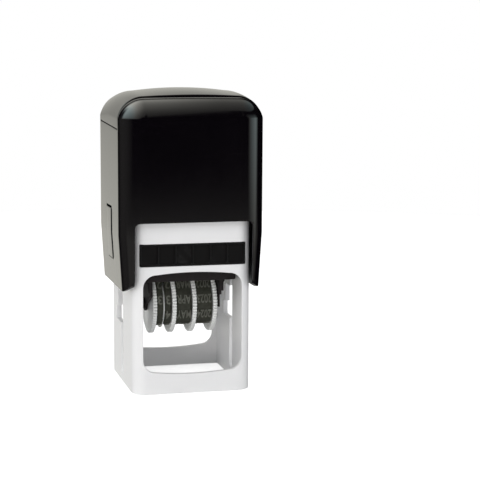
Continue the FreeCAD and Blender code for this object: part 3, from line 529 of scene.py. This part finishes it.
CAP_X, CAP_Y = 28.0, 27.3
CAP_FOOT, TAPER_HEAD, SHOULDER_Z = 39.6, 61.0, 104.8
SIDE_LEVELS = (43.0, 47.0, 51.0, 55.0, 58.0, TAPER_HEAD, 66.0, 72.0, 78.0, 84.0, 90.0, 96.0, 100.0)
SHOULDER, DOME, TAPER = 10.0, 1.2, 1.3
SHOULDER_SHARE, DOME_SHARE = 0.7, 0.3
COVER_Y, COVER_FOOT, COVER_THICK = 19.45, 102.15, 2.0
COVER_LEAN, COVER_SINK = 0.048, 0.25
COVER_GAP, COVER_FOOT_GAP, OVER_COVER = 0.15, 0.4, -4.0
FAR = 40.0

# boxes taken from the cap: left, right, low, high and rounding of the outline, its axis, from and to
HOLLOW = (-25.3, 25.3, -25.1, 25.1, 4.0), 2, 30.0, 100.8
ROOM_UNDER_BROWS = (-23.6, 23.6, 99.0, 102.4), 1, -25.1, 25.1
ROOM_UNDER_COVER = (-23.6, 23.6, 99.0, 109.6), 1, -19.1, 19.1
SKIRT_OPENINGS = (-22.8, 22.8, 10.0, 66.0, 2.0), 1, -FAR, FAR
BUTTON_SLOTS = (-5.6, 5.6, 49.9, 70.6, 0.4, 4), 0, -FAR, FAR

# the cut beside a leg's foot: place, height and radius of its round, and its outer and lower ends
HEEL_Y, HEEL_Z, HEEL_ROUND, HEEL_OUT, HEEL_LOW = 19.3, 47.6, 8.0, 30.0, 36.0


def cap_line(foot, shoulder_steps=18, dome_steps=20):
    """The cap's outline seen from the front: up the left side, over shoulder and dome, and down the right.
    Gives each point, its inward normal, and how much of the top's crown it takes: 0 on the sides, growing
    with the shoulder's sine, 1 at the middle of the dome."""
    z = np.array([foot, *(level for level in SIDE_LEVELS if level > foot + 0.5)])
    x = -(CAP_X - TAPER * np.clip((TAPER_HEAD - z) / (TAPER_HEAD - CAP_FOOT), 0, None))
    lean = np.where(z < TAPER_HEAD - 0.1, TAPER / (TAPER_HEAD - CAP_FOOT), 0.0)
    side = np.stack([x, z], -1)
    side_normal = np.stack([np.ones_like(z), lean], -1)
    turn = np.linspace(0, math.pi / 2, shoulder_steps + 1)
    reach = CAP_X - SHOULDER
    arc = np.stack([-reach - SHOULDER * np.cos(turn), SHOULDER_Z + SHOULDER * np.sin(turn)], -1)
    arc_normal = np.stack([np.cos(turn), -np.sin(turn)], -1)
    radius = (reach**2 + DOME**2) / (2 * DOME)
    sweep = math.asin(reach / radius)
    swing = np.linspace(-sweep, 0, dome_steps // 2 + 1)[1:]
    centre = SHOULDER_Z + SHOULDER + DOME - radius
    dome = np.stack([radius * np.sin(swing), centre + radius * np.cos(swing)], -1)
    dome_normal = np.stack([-np.sin(swing), -np.cos(swing)], -1)
    points = np.concatenate([side, arc, dome])
    normals = unit(np.concatenate([side_normal, arc_normal, dome_normal]))
    dome_share = SHOULDER_SHARE + DOME_SHARE * (1 - (swing / sweep) ** 2)
    share = np.concatenate([np.zeros(len(side)), SHOULDER_SHARE * np.sin(turn), dome_share])
    flip = np.array([-1.0, 1.0])
    points = np.concatenate([points, (points[:-1] * flip)[::-1]])
    normals = np.concatenate([normals, (normals[:-1] * flip)[::-1]])
    return points, normals, np.concatenate([share, share[:-1][::-1]])


def crowned(line, across, inset):
    """The outline carried from front to rear: each point moves in along its normal by inset, and by the
    crown's share times the square of its place between the middle and the cover's ends."""
    points, normals, share = line
    place = np.clip(np.abs(across) / (CAP_Y - sizes().cap_round / MM), 0, 1)
    depth = inset + share[:, None] * (sizes().cap_crown / MM) * place[None, :] ** 2
    moved = points[:, None, :] + normals[:, None, :] * depth[..., None]
    depths = np.broadcast_to(across, depth.shape)
    return np.stack([moved[..., 0], depths, moved[..., 1]], -1)


def cap_block(corner_steps=18):
    """The cap before it is hollowed: the crowned outline with both ends turned in on a quarter circle, one
    inset for each place across, and the two ends and the foot closed with flat faces."""
    line = cap_line(CAP_FOOT)
    radius = sizes().cap_round / MM
    flat = CAP_Y - radius
    turn = np.linspace(0, math.pi / 2, corner_steps + 1)
    bend = radius * (1 - np.sin(turn))
    reach = flat + radius * np.cos(turn)
    between = np.linspace(-flat, flat, 15)[1:-1]
    across = np.concatenate([-reach, between, reach[::-1]])
    inset = np.concatenate([bend, np.zeros(len(between)), bend[::-1]])
    step = np.where(np.abs(across) > COVER_Y + 0.1, sizes().rim_step / MM, 0.0)
    inset = inset[None, :] + line[2][:, None] * step[None, :]
    grid = crowned(line, across, inset)
    rows, columns = grid.shape[:2]
    number = np.arange(rows * columns).reshape(rows, columns)
    faces = [quads(rows, columns)[:, ::-1], [number[:, 0].tolist(), number[::-1, -1].tolist()],
             [[*number[0, ::-1].tolist(), *number[-1].tolist()]]]
    return grid.reshape(-1, 3), faces


def saddle(low_inset, high_inset, half_depth, foot, steps=15):
    """A saddle over the cap's top: the crowned outline above foot, at two insets, closed at its four sides.
    Its two feet fall from rear to front by COVER_LEAN times the place across, and lie COVER_SINK lower."""
    line = cap_line(foot)
    across = np.linspace(-half_depth, half_depth, steps)
    outer = crowned(line, across, low_inset)
    inner = crowned(line, across[::-1], high_inset)
    for face in (outer, inner):
        face[[0, -1], :, 2] += COVER_LEAN * face[[0, -1], :, 1] - COVER_SINK
    grid = np.concatenate([outer, inner], axis=1)
    rows, columns = grid.shape[:2]
    number = np.arange(rows * columns).reshape(rows, columns)
    half = columns // 2
    ends = []
    for row in (0, rows - 1):
        near, far = number[row, :half], number[row, ::-1][:half]
        strip = np.stack([near[:-1], near[1:], far[1:], far[:-1]], -1)
        ends.append(strip if row else strip[:, ::-1])
    return grid.reshape(-1, 3), [quads(rows, columns, close_columns=True)[:, ::-1], *ends]


class STAMP_OT_cap(bpy.types.Operator):
    """Builds the press cap, the index cover and the two lock buttons"""

    bl_idname = "stamp.cap"
    bl_label = "Cap"

    def execute(self, context):
        cap = put("press_cap", *cap_block(), "polished black")
        clean(cap.data, outward=True)
        turn = np.linspace(0, math.pi / 2, 13)
        heel = np.stack([HEEL_Y + HEEL_ROUND * np.sin(turn), HEEL_Z - HEEL_ROUND * np.cos(turn)], -1)
        heel = np.concatenate([heel, [(HEEL_OUT, HEEL_Z), (HEEL_OUT, HEEL_LOW), (HEEL_Y, HEEL_LOW)]])
        boxes = (HOLLOW, ROOM_UNDER_BROWS, ROOM_UNDER_COVER, SKIRT_OPENINGS, BUTTON_SLOTS)
        cuts = [prism(box_outline(*outline), *reach) for outline, *reach in boxes]
        cuts += [prism(heel * np.array([way, 1.0]), 0, -FAR, FAR) for way in (1.0, -1.0)]
        cuts.append(saddle(
            OVER_COVER, COVER_THICK + COVER_GAP, COVER_Y + COVER_GAP, COVER_FOOT - COVER_FOOT_GAP))
        carve(cap, cuts)
        clean(cap.data, CUT_MERGE)
        soften(cap, 0.0002)
        settle(cap, "cap_shell")
        cover = put("cover_saddle", *saddle(0.0, COVER_THICK, COVER_Y, COVER_FOOT), "polished black")
        clean(cover.data, outward=True)
        soften(cover, 0.00025, segments=3)
        settle(cover, "index_cover")
        for side in ("left", "right"):
            dress(f"lock_button_{side}", f"button_{side}", "polished black", 0.0003)
        dress("slider_yoke", "yoke_slider", "black holder", 0.0002)
        return {"FINISHED"}


# frame, deck and spring


class STAMP_OT_frame(bpy.types.Operator):
    """Builds the light frame and the deck under the spring"""

    bl_idname = "stamp.frame"
    bl_label = "Frame"

    def execute(self, context):
        shell = rounded_copy("frame", "frame_shell", "light shell", sizes().edge_round)
        join_slivers(shell.data)
        settle(shell, "frame")
        dress("frame_deck", "deck_plate", "light shell", sizes().edge_round)
        return {"FINISHED"}


def tube(path, radius, sides=12):
    """A round wire along a path: at each point a circle in the plane across it, closed at both ends."""
    ahead = unit(np.gradient(path, axis=0))
    second = unit(np.cross(ahead, unit(path * np.array([1.0, 1.0, 0.0]))))
    first = np.cross(second, ahead)
    turn = np.arange(sides) * 2 * math.pi / sides
    ring = first[:, None] * np.cos(turn)[None, :, None] + second[:, None] * np.sin(turn)[None, :, None]
    points = path[:, None] + radius * ring
    number = np.arange(len(path) * sides).reshape(len(path), sides)
    faces = [quads(len(path), sides, close_columns=True), [number[0, ::-1].tolist(), number[-1].tolist()]]
    return points.reshape(-1, 3), faces


class STAMP_OT_spring(bpy.types.Operator):
    """Builds the return spring between deck and cup"""

    bl_idname = "stamp.spring"
    bl_label = "Return spring"

    def execute(self, context):
        low, high, radius, wire = 62.6, 107.0, 7.4, 0.6
        end_rise, steps_per_turn = 1.25, 36
        turns = sizes().spring_turns
        angle = np.linspace(0, 2 * math.pi * (turns + 2), int(steps_per_turn * (turns + 2)) + 1)
        turned = angle / (2 * math.pi)
        height = low + end_rise * np.clip(turned, 0, 1)
        height += (high - low - 2 * end_rise) * np.clip((turned - 1) / turns, 0, 1)
        height += end_rise * np.clip(turned - 1 - turns, 0, 1)
        path = np.stack([radius * np.cos(angle), radius * np.sin(angle), height], -1)
        spring = put("spring_coil", *tube(path, wire), "drawn steel")
        clean(spring.data, outward=True)
        soften(spring, 0)
        settle(spring, "return_spring")
        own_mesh(spring)
        return {"FINISHED"}


# ink pad and tray


FELT_HALF, FELT_CLEAR, FELT_LIFT = 16.95, 0.02, 0.2
FELT_FLAT, FELT_RIM, ROLL_BELOW, ROLL_ABOVE = 0.95, 0.05, 0.55, 0.6
FELT_WAVE = 0.035


def felt_pad(half, low, high, crown, steps=34):
    """A pressed pad: a square whose lower face swells by crown times the product of two quartic bumps and
    waves a little, its edges rolled over on a quarter circle."""
    u = np.linspace(-1, 1, steps)
    x, y = np.meshgrid(u, u, indexing="ij")
    edge = np.maximum(np.abs(x), np.abs(y))
    rim = np.clip((edge - FELT_FLAT) / FELT_RIM, 0, 1)
    roll = ROLL_BELOW * (1 - np.sqrt(np.clip(1 - rim**2, 0, 1)))
    swell = crown * (1 - np.abs(x) ** 4) * (1 - np.abs(y) ** 4)
    wave = FELT_WAVE * np.sin(9 * x + 1.3) * np.sin(8 * y - 0.4)
    below = np.stack([x * half, y * half, low + roll + FELT_LIFT - swell + wave * (1 - edge**6)], -1)
    above = np.stack([x * half, y * half, high - roll * ROLL_ABOVE], -1)
    count = steps * steps
    number = np.arange(count).reshape(steps, steps)
    rim = np.concatenate([number[0, :-1], number[:-1, -1], number[-1, :0:-1], number[:0:-1, 0]])
    after = np.roll(rim, -1)
    side = np.stack([rim, after, after + count, rim + count], -1)
    faces = [quads(steps, steps), quads(steps, steps, start=count)[:, ::-1], side]
    return np.concatenate([below.reshape(-1, 3), above.reshape(-1, 3)]), faces


class STAMP_OT_pad(bpy.types.Operator):
    """Builds the pad tray and the inked felt in its underside"""

    bl_idname = "stamp.pad"
    bl_label = "Ink pad"

    def execute(self, context):
        dress("pad_tray", "tray_shell", "black tray", 0.00022)
        low, high = (corner.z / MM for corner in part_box("ink_pad"))
        pad = felt_pad(FELT_HALF, low, high - FELT_CLEAR, sizes().felt_crown / MM)
        felt = put("felt_pad", *pad, "inked felt")
        clean(felt.data, outward=True)
        felt.data.shade_smooth()
        settle(felt, "ink_pad")
        return {"FINISHED"}


# date works

AXLE = 31.2
LOOP_CORNERS = [(-7.9, 24.2), (7.9, 24.2), (10.4, 33.0), (2.3, 47.1), (-2.3, 47.1), (-10.4, 33.0)]
LOOP_ROUNDS = [3.0, 3.0, 9.0, 2.2, 2.2, 9.0]
NOSE_CORNER = 4
BAND_BASE, BAND_CREST, BAND_STEPS, BAND_TEETH, TOOTH = 0.75, 0.16, 288, 48, 0.18
BAND_WORDS = {
    "day_tens": "0 1 2 3 _ 0 1 2 3 _ _ _",
    "day_units": "0 1 2 3 4 5 6 7 8 9 _ _",
    "month": "JAN FEB MAR APR MAY JUN JUL AUG SEP OCT NOV DEC",
    "year": "2020 2021 2022 2023 2024 2025 2026 2027 2028 2029 2030 2031",
}
FONT_CAPITAL, LETTER_BOLD, LETTER_SINK, LETTER_MARGIN = 0.72, 0.012, -0.12, 0.5
BAND_SHARP, WHEEL_SHARP = 35.0, 40.0


def belt_loop(steps=24):
    """The loop's inner line and its outward normals: a polygon in y and z whose corners are arcs, each
    turning from one side's normal to the next side's, from the crest of the nose down the front."""
    corners = np.array(LOOP_CORNERS)
    before = unit(corners - np.roll(corners, 1, axis=0))
    after = np.roll(before, -1, axis=0)
    turn = np.arctan2(before[:, 0] * after[:, 1] - before[:, 1] * after[:, 0], (before * after).sum(1))
    radius = np.array(LOOP_ROUNDS)
    normal = np.stack([before[:, 1], -before[:, 0]], -1)
    centre = corners - before * (radius * np.tan(turn / 2))[:, None] - normal * radius[:, None]
    angle = np.arctan2(normal[:, 1], normal[:, 0])[:, None] + turn[:, None] * np.linspace(0, 1, steps)
    outward = np.stack([np.cos(angle), np.sin(angle)], -1)
    points = centre[:, None] + radius[:, None, None] * outward
    points, outward = points.reshape(-1, 2), outward.reshape(-1, 2)
    last = NOSE_CORNER * steps
    crest = (points[last - 1] + points[last]) / 2
    points = np.concatenate([crest[None], points[last:], points[:last], crest[None]])
    outward = np.concatenate([[(0.0, 1.0)], outward[last:], outward[:last], [(0.0, 1.0)]])
    return points, outward


def belt_place(along, growth):
    """The point and outward normal at a distance along the loop, grown by growth, from the nose's crest:
    found by interpolation on the running length of the grown line."""
    inner, outward = belt_loop()
    grown = inner + growth * outward
    running = np.concatenate([[0.0], np.cumsum(np.linalg.norm(np.diff(grown, axis=0), axis=1))])
    total = running[-1]
    s = np.mod(np.asarray(along, float), total)
    place = np.stack([np.interp(s, running, grown[:, k]) for k in (0, 1)], -1)
    normal = unit(np.stack([np.interp(s, running, outward[:, k]) for k in (0, 1)], -1))
    return place, normal, total


def band_loop(left, right, thickness):
    """A moulded band: the belt's loop with a section that has rounded edges outside and, inside, fine ribs
    made by a raised cosine along the loop."""
    total = belt_place(0.0, thickness)[2]
    along = np.linspace(0, total, BAND_STEPS + 1)[:-1]
    inner_total = belt_place(0.0, 0.0)[2]
    crest, slope = BAND_CREST, BAND_CREST * 0.3
    section = [(left, 0.0), (left, thickness - crest), (left + slope, thickness - slope),
               (left + crest, thickness), (right - crest, thickness), (right - slope, thickness - slope),
               (right, thickness - crest), (right, 0.0)]
    ribs = TOOTH * (0.5 + 0.5 * np.cos(along * 2 * math.pi * BAND_TEETH / total))
    rings = []
    for x, growth in section:
        scaled = along * (inner_total + (total - inner_total) * growth / thickness) / total
        place, normal, _ = belt_place(scaled, growth)
        if not growth:
            place = place + normal * ribs[:, None]
        rings.append(np.concatenate([np.full((len(along), 1), x), place], axis=1))
    grid = np.stack(rings, axis=1)
    return grid.reshape(-1, 3), [quads(*grid.shape[:2], close_rows=True, close_columns=True)], total


def word_mesh(word):
    """A word's outline with a thickness, turned into a mesh: its points and its faces."""
    text = bpy.data.curves.new("text", "FONT")
    text.body = word
    text.align_x, text.align_y = "CENTER", "CENTER"
    text.extrude = 0.5
    text.offset = LETTER_BOLD
    text.resolution_u = 3
    holder = new_object("text", text)
    mesh = final_mesh(holder)
    points = np.array([vertex.co for vertex in mesh.vertices])
    faces = [list(polygon.vertices) for polygon in mesh.polygons]
    bpy.data.objects.remove(holder)
    bpy.data.meshes.remove(mesh)
    bpy.data.curves.remove(text)
    return points, faces


def raised_words(words, middle, width, thickness, total):
    """The band's characters: each word's mesh is mirrored as on a stamp and laid along the belt: x across
    the band, y along the loop, z along the loop's outward normal."""
    points, faces, count = [], [], 0
    pitch = total / len(words)
    tall, relief = sizes().letter_height / MM, sizes().letter_relief / MM
    for number, word in enumerate(words):
        if word == "_":
            continue
        flat, polygons = word_mesh(word)
        low, high = flat.min(0), flat.max(0)
        flat_middle = (low + high) / 2
        scale = tall / FONT_CAPITAL
        squeeze = min(scale, (width - LETTER_MARGIN) / (high[0] - low[0]))
        x = middle - (flat[:, 0] - flat_middle[0]) * squeeze
        along = number * pitch + (flat[:, 1] - flat_middle[1]) * min(scale, tall / (high[1] - low[1]))
        lift = np.where(flat[:, 2] > 0, relief, LETTER_SINK)
        place, normal, _ = belt_place(along, thickness)
        place = place + normal * lift[:, None]
        points.append(np.concatenate([x[:, None], place], axis=1))
        faces += [[v + count for v in polygon] for polygon in polygons]
        count += len(flat)
    return np.concatenate(points), faces


class STAMP_OT_bands(bpy.types.Operator):
    """Builds the four date bands with their raised characters"""

    bl_idname = "stamp.bands"
    bl_label = "Date bands"

    def execute(self, context):
        for name, words in BAND_WORDS.items():
            low, high = (corner.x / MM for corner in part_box(f"band_{name}"))
            points, faces, total = band_loop(low, high, BAND_BASE)
            word_points, word_faces = raised_words(
                words.split(), (low + high) / 2, high - low, BAND_BASE, total)
            shifted = [[v + len(points) for v in face] for face in word_faces]
            points = np.concatenate([points, word_points])
            band = put(f"{name}_band", points, [*faces, shifted], "band rubber")
            band.data.materials.append(finishes["date characters"])
            kinds = np.zeros(len(band.data.polygons), int)
            kinds[-len(shifted):] = 1
            band.data.polygons.foreach_set("material_index", kinds)
            clean(band.data, outward=True)
            band.data.shade_smooth()
            band.data.set_sharp_from_angle(angle=math.radians(BAND_SHARP))
            settle(band, f"band_{name}")
        return {"FINISHED"}


WHEEL_RADIUS, WHEEL_THICK, NOTCHES, NOTCH, STEPS_PER_NOTCH = 12.0, 1.6, 60, 0.8, 8
HUB_RADIUS, BORE_RADIUS, WHEEL_EDGE = 6.9, 1.55, 0.22


def knurled_wheel(low, high, hub_side):
    """A setting wheel turned round the axle: each ring of its section is a circle, and the rim's rings dip
    at every notch by a depth times a raised cosine to the fourth power. A row of the section is a place
    along the axle, a radius, and 1 where the notches dip."""
    disc, hub = (low, high) if hub_side > 0 else (high, low)
    face = disc + hub_side * WHEEL_THICK
    out, edge = WHEEL_RADIUS, WHEEL_EDGE * hub_side
    section = np.array([
        (hub, BORE_RADIUS, 0), (hub, HUB_RADIUS - 0.1, 0), (hub - 0.1 * hub_side, HUB_RADIUS, 0),
        (face, HUB_RADIUS, 0), (face, HUB_RADIUS + 0.3, 0), (face - edge, HUB_RADIUS + 0.7, 0),
        (face - edge, out - 1.7, 0), (face, out - 1.4, 0), (face, out - 0.75, 0), (face, out - 0.2, 1),
        (face - edge * 0.3, out - 0.06, 1), (face - edge, out, 1), (disc + edge, out, 1),
        (disc + edge * 0.3, out - 0.06, 1), (disc, out - 0.2, 1), (disc, out - 0.75, 0),
        (disc, out - 1.4, 0), (disc + edge, out - 1.7, 0), (disc + edge, BORE_RADIUS + 1.6, 0),
        (disc, BORE_RADIUS + 1.3, 0), (disc, BORE_RADIUS, 0)])
    columns = STEPS_PER_NOTCH * NOTCHES
    turn = np.arange(columns) * 2 * math.pi / columns
    dip = NOTCH * (0.5 + 0.5 * np.cos(NOTCHES * turn)) ** 4
    radius = section[:, 1, None] - section[:, 2, None] * dip[None, :]
    points = np.stack([np.broadcast_to(section[:, 0, None], radius.shape), radius * np.cos(turn),
                       AXLE + radius * np.sin(turn)], -1)
    return points.reshape(-1, 3), [quads(len(section), columns, close_rows=True, close_columns=True)]


class STAMP_OT_wheels(bpy.types.Operator):
    """Builds the four setting wheels, the divider, the axle and its spacer"""

    bl_idname = "stamp.wheels"
    bl_label = "Date wheels"

    def execute(self, context):
        for name, hub_side in (("day_tens", 1), ("day_units", -1), ("month", -1), ("year", -1)):
            low, high = (corner.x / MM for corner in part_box(f"wheel_{name}"))
            wheel = put(f"{name}_wheel", *knurled_wheel(low, high, hub_side), "wheel plastic")
            clean(wheel.data, outward=True)
            soften(wheel, 0, sharp=WHEEL_SHARP)
            settle(wheel, f"wheel_{name}")
        dress("band_divider", "divider_disc", "wheel plastic", 0.00012)
        dress("wheel_axle", "axle_pin", "black holder", 0.0002)
        dress("axle_spacer", "spacer_washer", "drawn steel", 0.00012)
        return {"FINISHED"}


class STAMP_OT_rotor(bpy.types.Operator):
    """Builds the rotor's holder, cheeks, anvil, print plate and die"""

    bl_idname = "stamp.rotor"
    bl_label = "Rotor"

    def execute(self, context):
        dress("rotor_frame", "rotor_holder", "black holder", 0.00025)
        for side in ("left", "right"):
            dress(f"cheek_{side}", f"works_cheek_{side}", "black holder", 0.0002)
        dress("band_anvil", "anvil_bar", "black holder", 0.0001)
        dress("text_plate", "print_plate", "grey plate", 0.00015)
        dress("die_rubber", "print_die", "die rubber", 0.00008)
        return {"FINISHED"}


# studio


FLOOR_RINGS, FLOOR_SIDES, FLOOR_Z = (0.0001, 0.05, 0.12, 0.25, 0.6), 96, -0.0001
FLOOR_GLOW, FLOOR_ROUGH, FLOOR_SHINE = 0.62, 0.6, 0.1
PLAIN_LIGHT = 0.58

# name, place, aim, width, height, power and colour
LAMPS = (
    ("key", (-0.32, -0.68, 0.68), (0, 0, 0.05), 0.5, 0.5, 1.6, (0.97, 0.985, 1.0)),
    ("fill", (0.70, -0.45, 0.30), (0, 0, 0.05), 0.35, 0.5, 0.9, (0.95, 0.98, 1.0)),
    ("low", (-0.42, -0.74, 0.06), (0, 0, 0.03), 0.45, 0.10, 1.4, (1.0, 0.975, 0.94)),
    ("side", (-0.80, -0.20, 0.10), (0, 0, 0.03), 0.30, 0.25, 1.3, (1.0, 0.975, 0.95)),
)
CAMERA_PLACE, CAMERA_AIM = (-0.1125, -0.5044, 0.1262), (0.0, 0.0, 0.05616)
LENS, SENSOR, SHIFT_X, SHIFT_Y, CLIP = 98.75, 36.0, 0.1266, -0.0016, (0.01, 20.0)

# the parts of the mirror room, each a product of spreads: source, two bounds, and the light at them
ROOM = {
    "panel": (("aside", 0.42, 0.30), ("z", 0.64, 0.60), ("z", -0.14, 0.0, 0.92, 0.54),
              ("z", 0.0, 0.30, 1.0, 1.5)),
    "beyond": (("x", -0.50, -0.70), ("y", 0.20, 0.45)),
    "ceiling": (("rise", 0.0, 0.03), ("z", 0.05, 0.9, 0.42, 2.2), ("before", 0.0, 1.0), ("y", 0.70, 0.50),
                ("y", -0.85, 0.30, 0.38, 1.0), ("x", 0.18, 0.26, 1.05, 0.42), ("x", 0.10, -0.50, 1.0, 2.8)),
    "box": (("x", 0.30, 0.88, 0.0, 2.2), ("y", -0.14, -0.40), ("z", -0.13, -0.05, 0.42, 1.05),
            ("z", 0.45, 0.0)),
    "dim": (("x", -0.60, -1.0, 0.0, 0.22),),
    "ground": (("z", -0.09, -0.16, 0.0, 0.42), ("y", 0.05, -0.25)),
    "cool left": (("x", -0.30, -0.70), ("z", 0.0, 0.3)),
    "cool right": (("x", 0.35, 0.60), ("z", -0.14, -0.05)),
}
EDGE_START, EDGE_SLOPE, EDGE_LOW, EDGE_HIGH = 0.166, 5.8, 0.08, 0.6
WARM, COOL = (1.0, 0.985, 0.90), (0.84, 1.0, 1.0)


def stage_material(name, colour, camera_glow):
    """A plain surface that adds a little light of its own for the camera and for mirror-like rays only."""
    material, n, shader = new_material(name)
    shader["Base Color"].default_value = (*colour, 1.0)
    shader["Roughness"].default_value = FLOOR_ROUGH
    shader["Specular IOR Level"].default_value = FLOOR_SHINE
    shader["Emission Color"].default_value = (1.0, 1.0, 1.0, 1.0)
    seen = n.seen_by("Is Camera Ray", "Is Transmission Ray", "Is Glossy Ray")
    n.link(n.times(seen, camera_glow), shader["Emission Strength"])
    return material


def facing(place, aim):
    """The pitch and yaw of the line from a place to an aim."""
    way = np.array(aim, float) - np.array(place, float)
    return math.atan2(way[2], math.hypot(way[0], way[1])), math.atan2(way[1], way[0])


def lamp(name, place, aim, width, height, power, colour):
    light = bpy.data.lights.new(name, "AREA")
    light.shape = "RECTANGLE"
    light.size, light.size_y = width, height
    light.energy = power
    light.color = colour
    holder = new_object(name, light)
    holder.location = place
    pitch, yaw = facing(place, aim)
    holder.rotation_euler = (math.pi / 2 + pitch, 0.0, yaw - math.pi / 2)
    holder.visible_glossy = False


def mirror_room(n):
    """What mirror-like surfaces see of the studio, from the direction alone: a white panel behind, a pale
    ceiling that comes down in front to a slanting edge, a soft box at the front right, dimness on the left
    and a little light from the ground. Gives its strength and colour."""
    direction = n.add("ShaderNodeTexCoord").outputs["Generated"]
    parts = n.add("ShaderNodeSeparateXYZ", {0: direction}).outputs
    sources = {"x": parts["X"], "y": parts["Y"], "z": parts["Z"]}

    def light(name):
        return n.times(*(n.spread(sources[key], *bounds) for key, *bounds in ROOM[name]))

    width, depth = n.math("ABSOLUTE", parts["X"]), n.math("MAXIMUM", parts["Y"], 0.001)
    sources["aside"] = n.math("DIVIDE", width, depth)
    edge = n.times(n.math("SUBTRACT", parts["X"], EDGE_START), EDGE_SLOPE)
    edge = n.math("MAXIMUM", n.math("MINIMUM", edge, EDGE_HIGH), EDGE_LOW)
    sources["rise"] = n.math("SUBTRACT", parts["Z"], edge)
    sources["before"] = n.math("SUBTRACT", 1.0, light("beyond"))
    strength = light("panel")
    for name in ("ceiling", "box", "dim", "ground"):
        strength = n.math("MAXIMUM", strength, light(name))
    cool = n.math("MAXIMUM", light("cool left"), light("cool right"))
    return strength, n.mix(cool, WARM, COOL)


class STAMP_OT_stage(bpy.types.Operator):
    """Builds the floor, the backdrop, the soft light and the camera"""

    bl_idname = "stamp.stage"
    bl_label = "Stage"

    def execute(self, context):
        scene = context.scene
        turn = np.arange(FLOOR_SIDES) * 2 * math.pi / FLOOR_SIDES
        rings = np.array(FLOOR_RINGS)[:, None]
        level = np.full((len(rings), FLOOR_SIDES), FLOOR_Z)
        disc = np.stack([rings * np.cos(turn), rings * np.sin(turn), level], -1)
        grid = quads(len(rings), FLOOR_SIDES, close_columns=True).tolist()
        mesh = bpy.data.meshes.new("floor")
        mesh.from_pydata(disc.reshape(-1, 3).tolist(), [], [*grid, list(range(FLOOR_SIDES - 1, -1, -1))])
        floor = new_object("floor", mesh)
        clean(mesh)
        mesh.materials.append(stage_material("pale floor", colours().floor, FLOOR_GLOW))
        floor.visible_glossy = False
        scene.world = world = bpy.data.worlds.new("studio")
        world.use_nodes = True
        n = Nodes(world.node_tree)
        ground = world.node_tree.nodes["Background"].inputs
        glossy = n.seen_by("Is Glossy Ray")
        mirrored, hue = mirror_room(n)
        plain = n.times(n.math("SUBTRACT", 1.0, glossy), PLAIN_LIGHT)
        strength = n.math("ADD", n.times(glossy, mirrored), plain)
        strength = n.math("MAXIMUM", n.seen_by("Is Camera Ray", "Is Transmission Ray"), strength)
        n.link(n.mix(glossy, (1.0, 1.0, 1.0), hue), ground["Color"])
        n.link(strength, ground["Strength"])
        for row in LAMPS:
            lamp(*row)
        lens = bpy.data.cameras.new("camera")
        lens.lens, lens.sensor_width = LENS, SENSOR
        lens.shift_x, lens.shift_y = SHIFT_X, SHIFT_Y
        lens.clip_start, lens.clip_end = CLIP
        camera = new_object("camera", lens)
        camera.location = CAMERA_PLACE
        pitch, yaw = facing(CAMERA_PLACE, CAMERA_AIM)
        camera.rotation_euler = (math.pi / 2 + pitch, 0.0, yaw - math.pi / 2)
        scene.camera = camera
        scene.view_settings.view_transform = "Standard"
        return {"FINISHED"}


class STAMP_PT_panel(bpy.types.Panel):
    """The stamp's operators, sizes and colours"""

    bl_idname = "STAMP_PT_panel"
    bl_label = "Date stamp"
    bl_space_type = "VIEW_3D"
    bl_region_type = "UI"
    bl_category = "Date stamp"

    def draw(self, context):
        for operator in OPERATORS:
            self.layout.operator(operator.bl_idname)
        for group in (context.scene.stamp_sizes, context.scene.stamp_colours):
            for key in group.bl_rna.properties.keys():
                if key not in ("rna_type", "name"):
                    self.layout.prop(group, key)


OPERATORS = (
    STAMP_OT_finishes,
    STAMP_OT_cap,
    STAMP_OT_frame,
    STAMP_OT_spring,
    STAMP_OT_pad,
    STAMP_OT_rotor,
    STAMP_OT_wheels,
    STAMP_OT_bands,
    STAMP_OT_stage,
)


def register():
    for kind in (StampSizes, StampColours, *OPERATORS, STAMP_PT_panel):
        bpy.utils.register_class(kind)
    bpy.types.Scene.stamp_sizes = bpy.props.PointerProperty(type=StampSizes)
    bpy.types.Scene.stamp_colours = bpy.props.PointerProperty(type=StampColours)


def unregister():
    del bpy.types.Scene.stamp_colours
    del bpy.types.Scene.stamp_sizes
    for kind in (STAMP_PT_panel, *reversed(OPERATORS), StampColours, StampSizes):
        bpy.utils.unregister_class(kind)


def main():
    register()
    for operator in OPERATORS:
        group, name = operator.bl_idname.split(".")
        getattr(getattr(bpy.ops, group), name)()


if __name__ == "__main__":
    main()
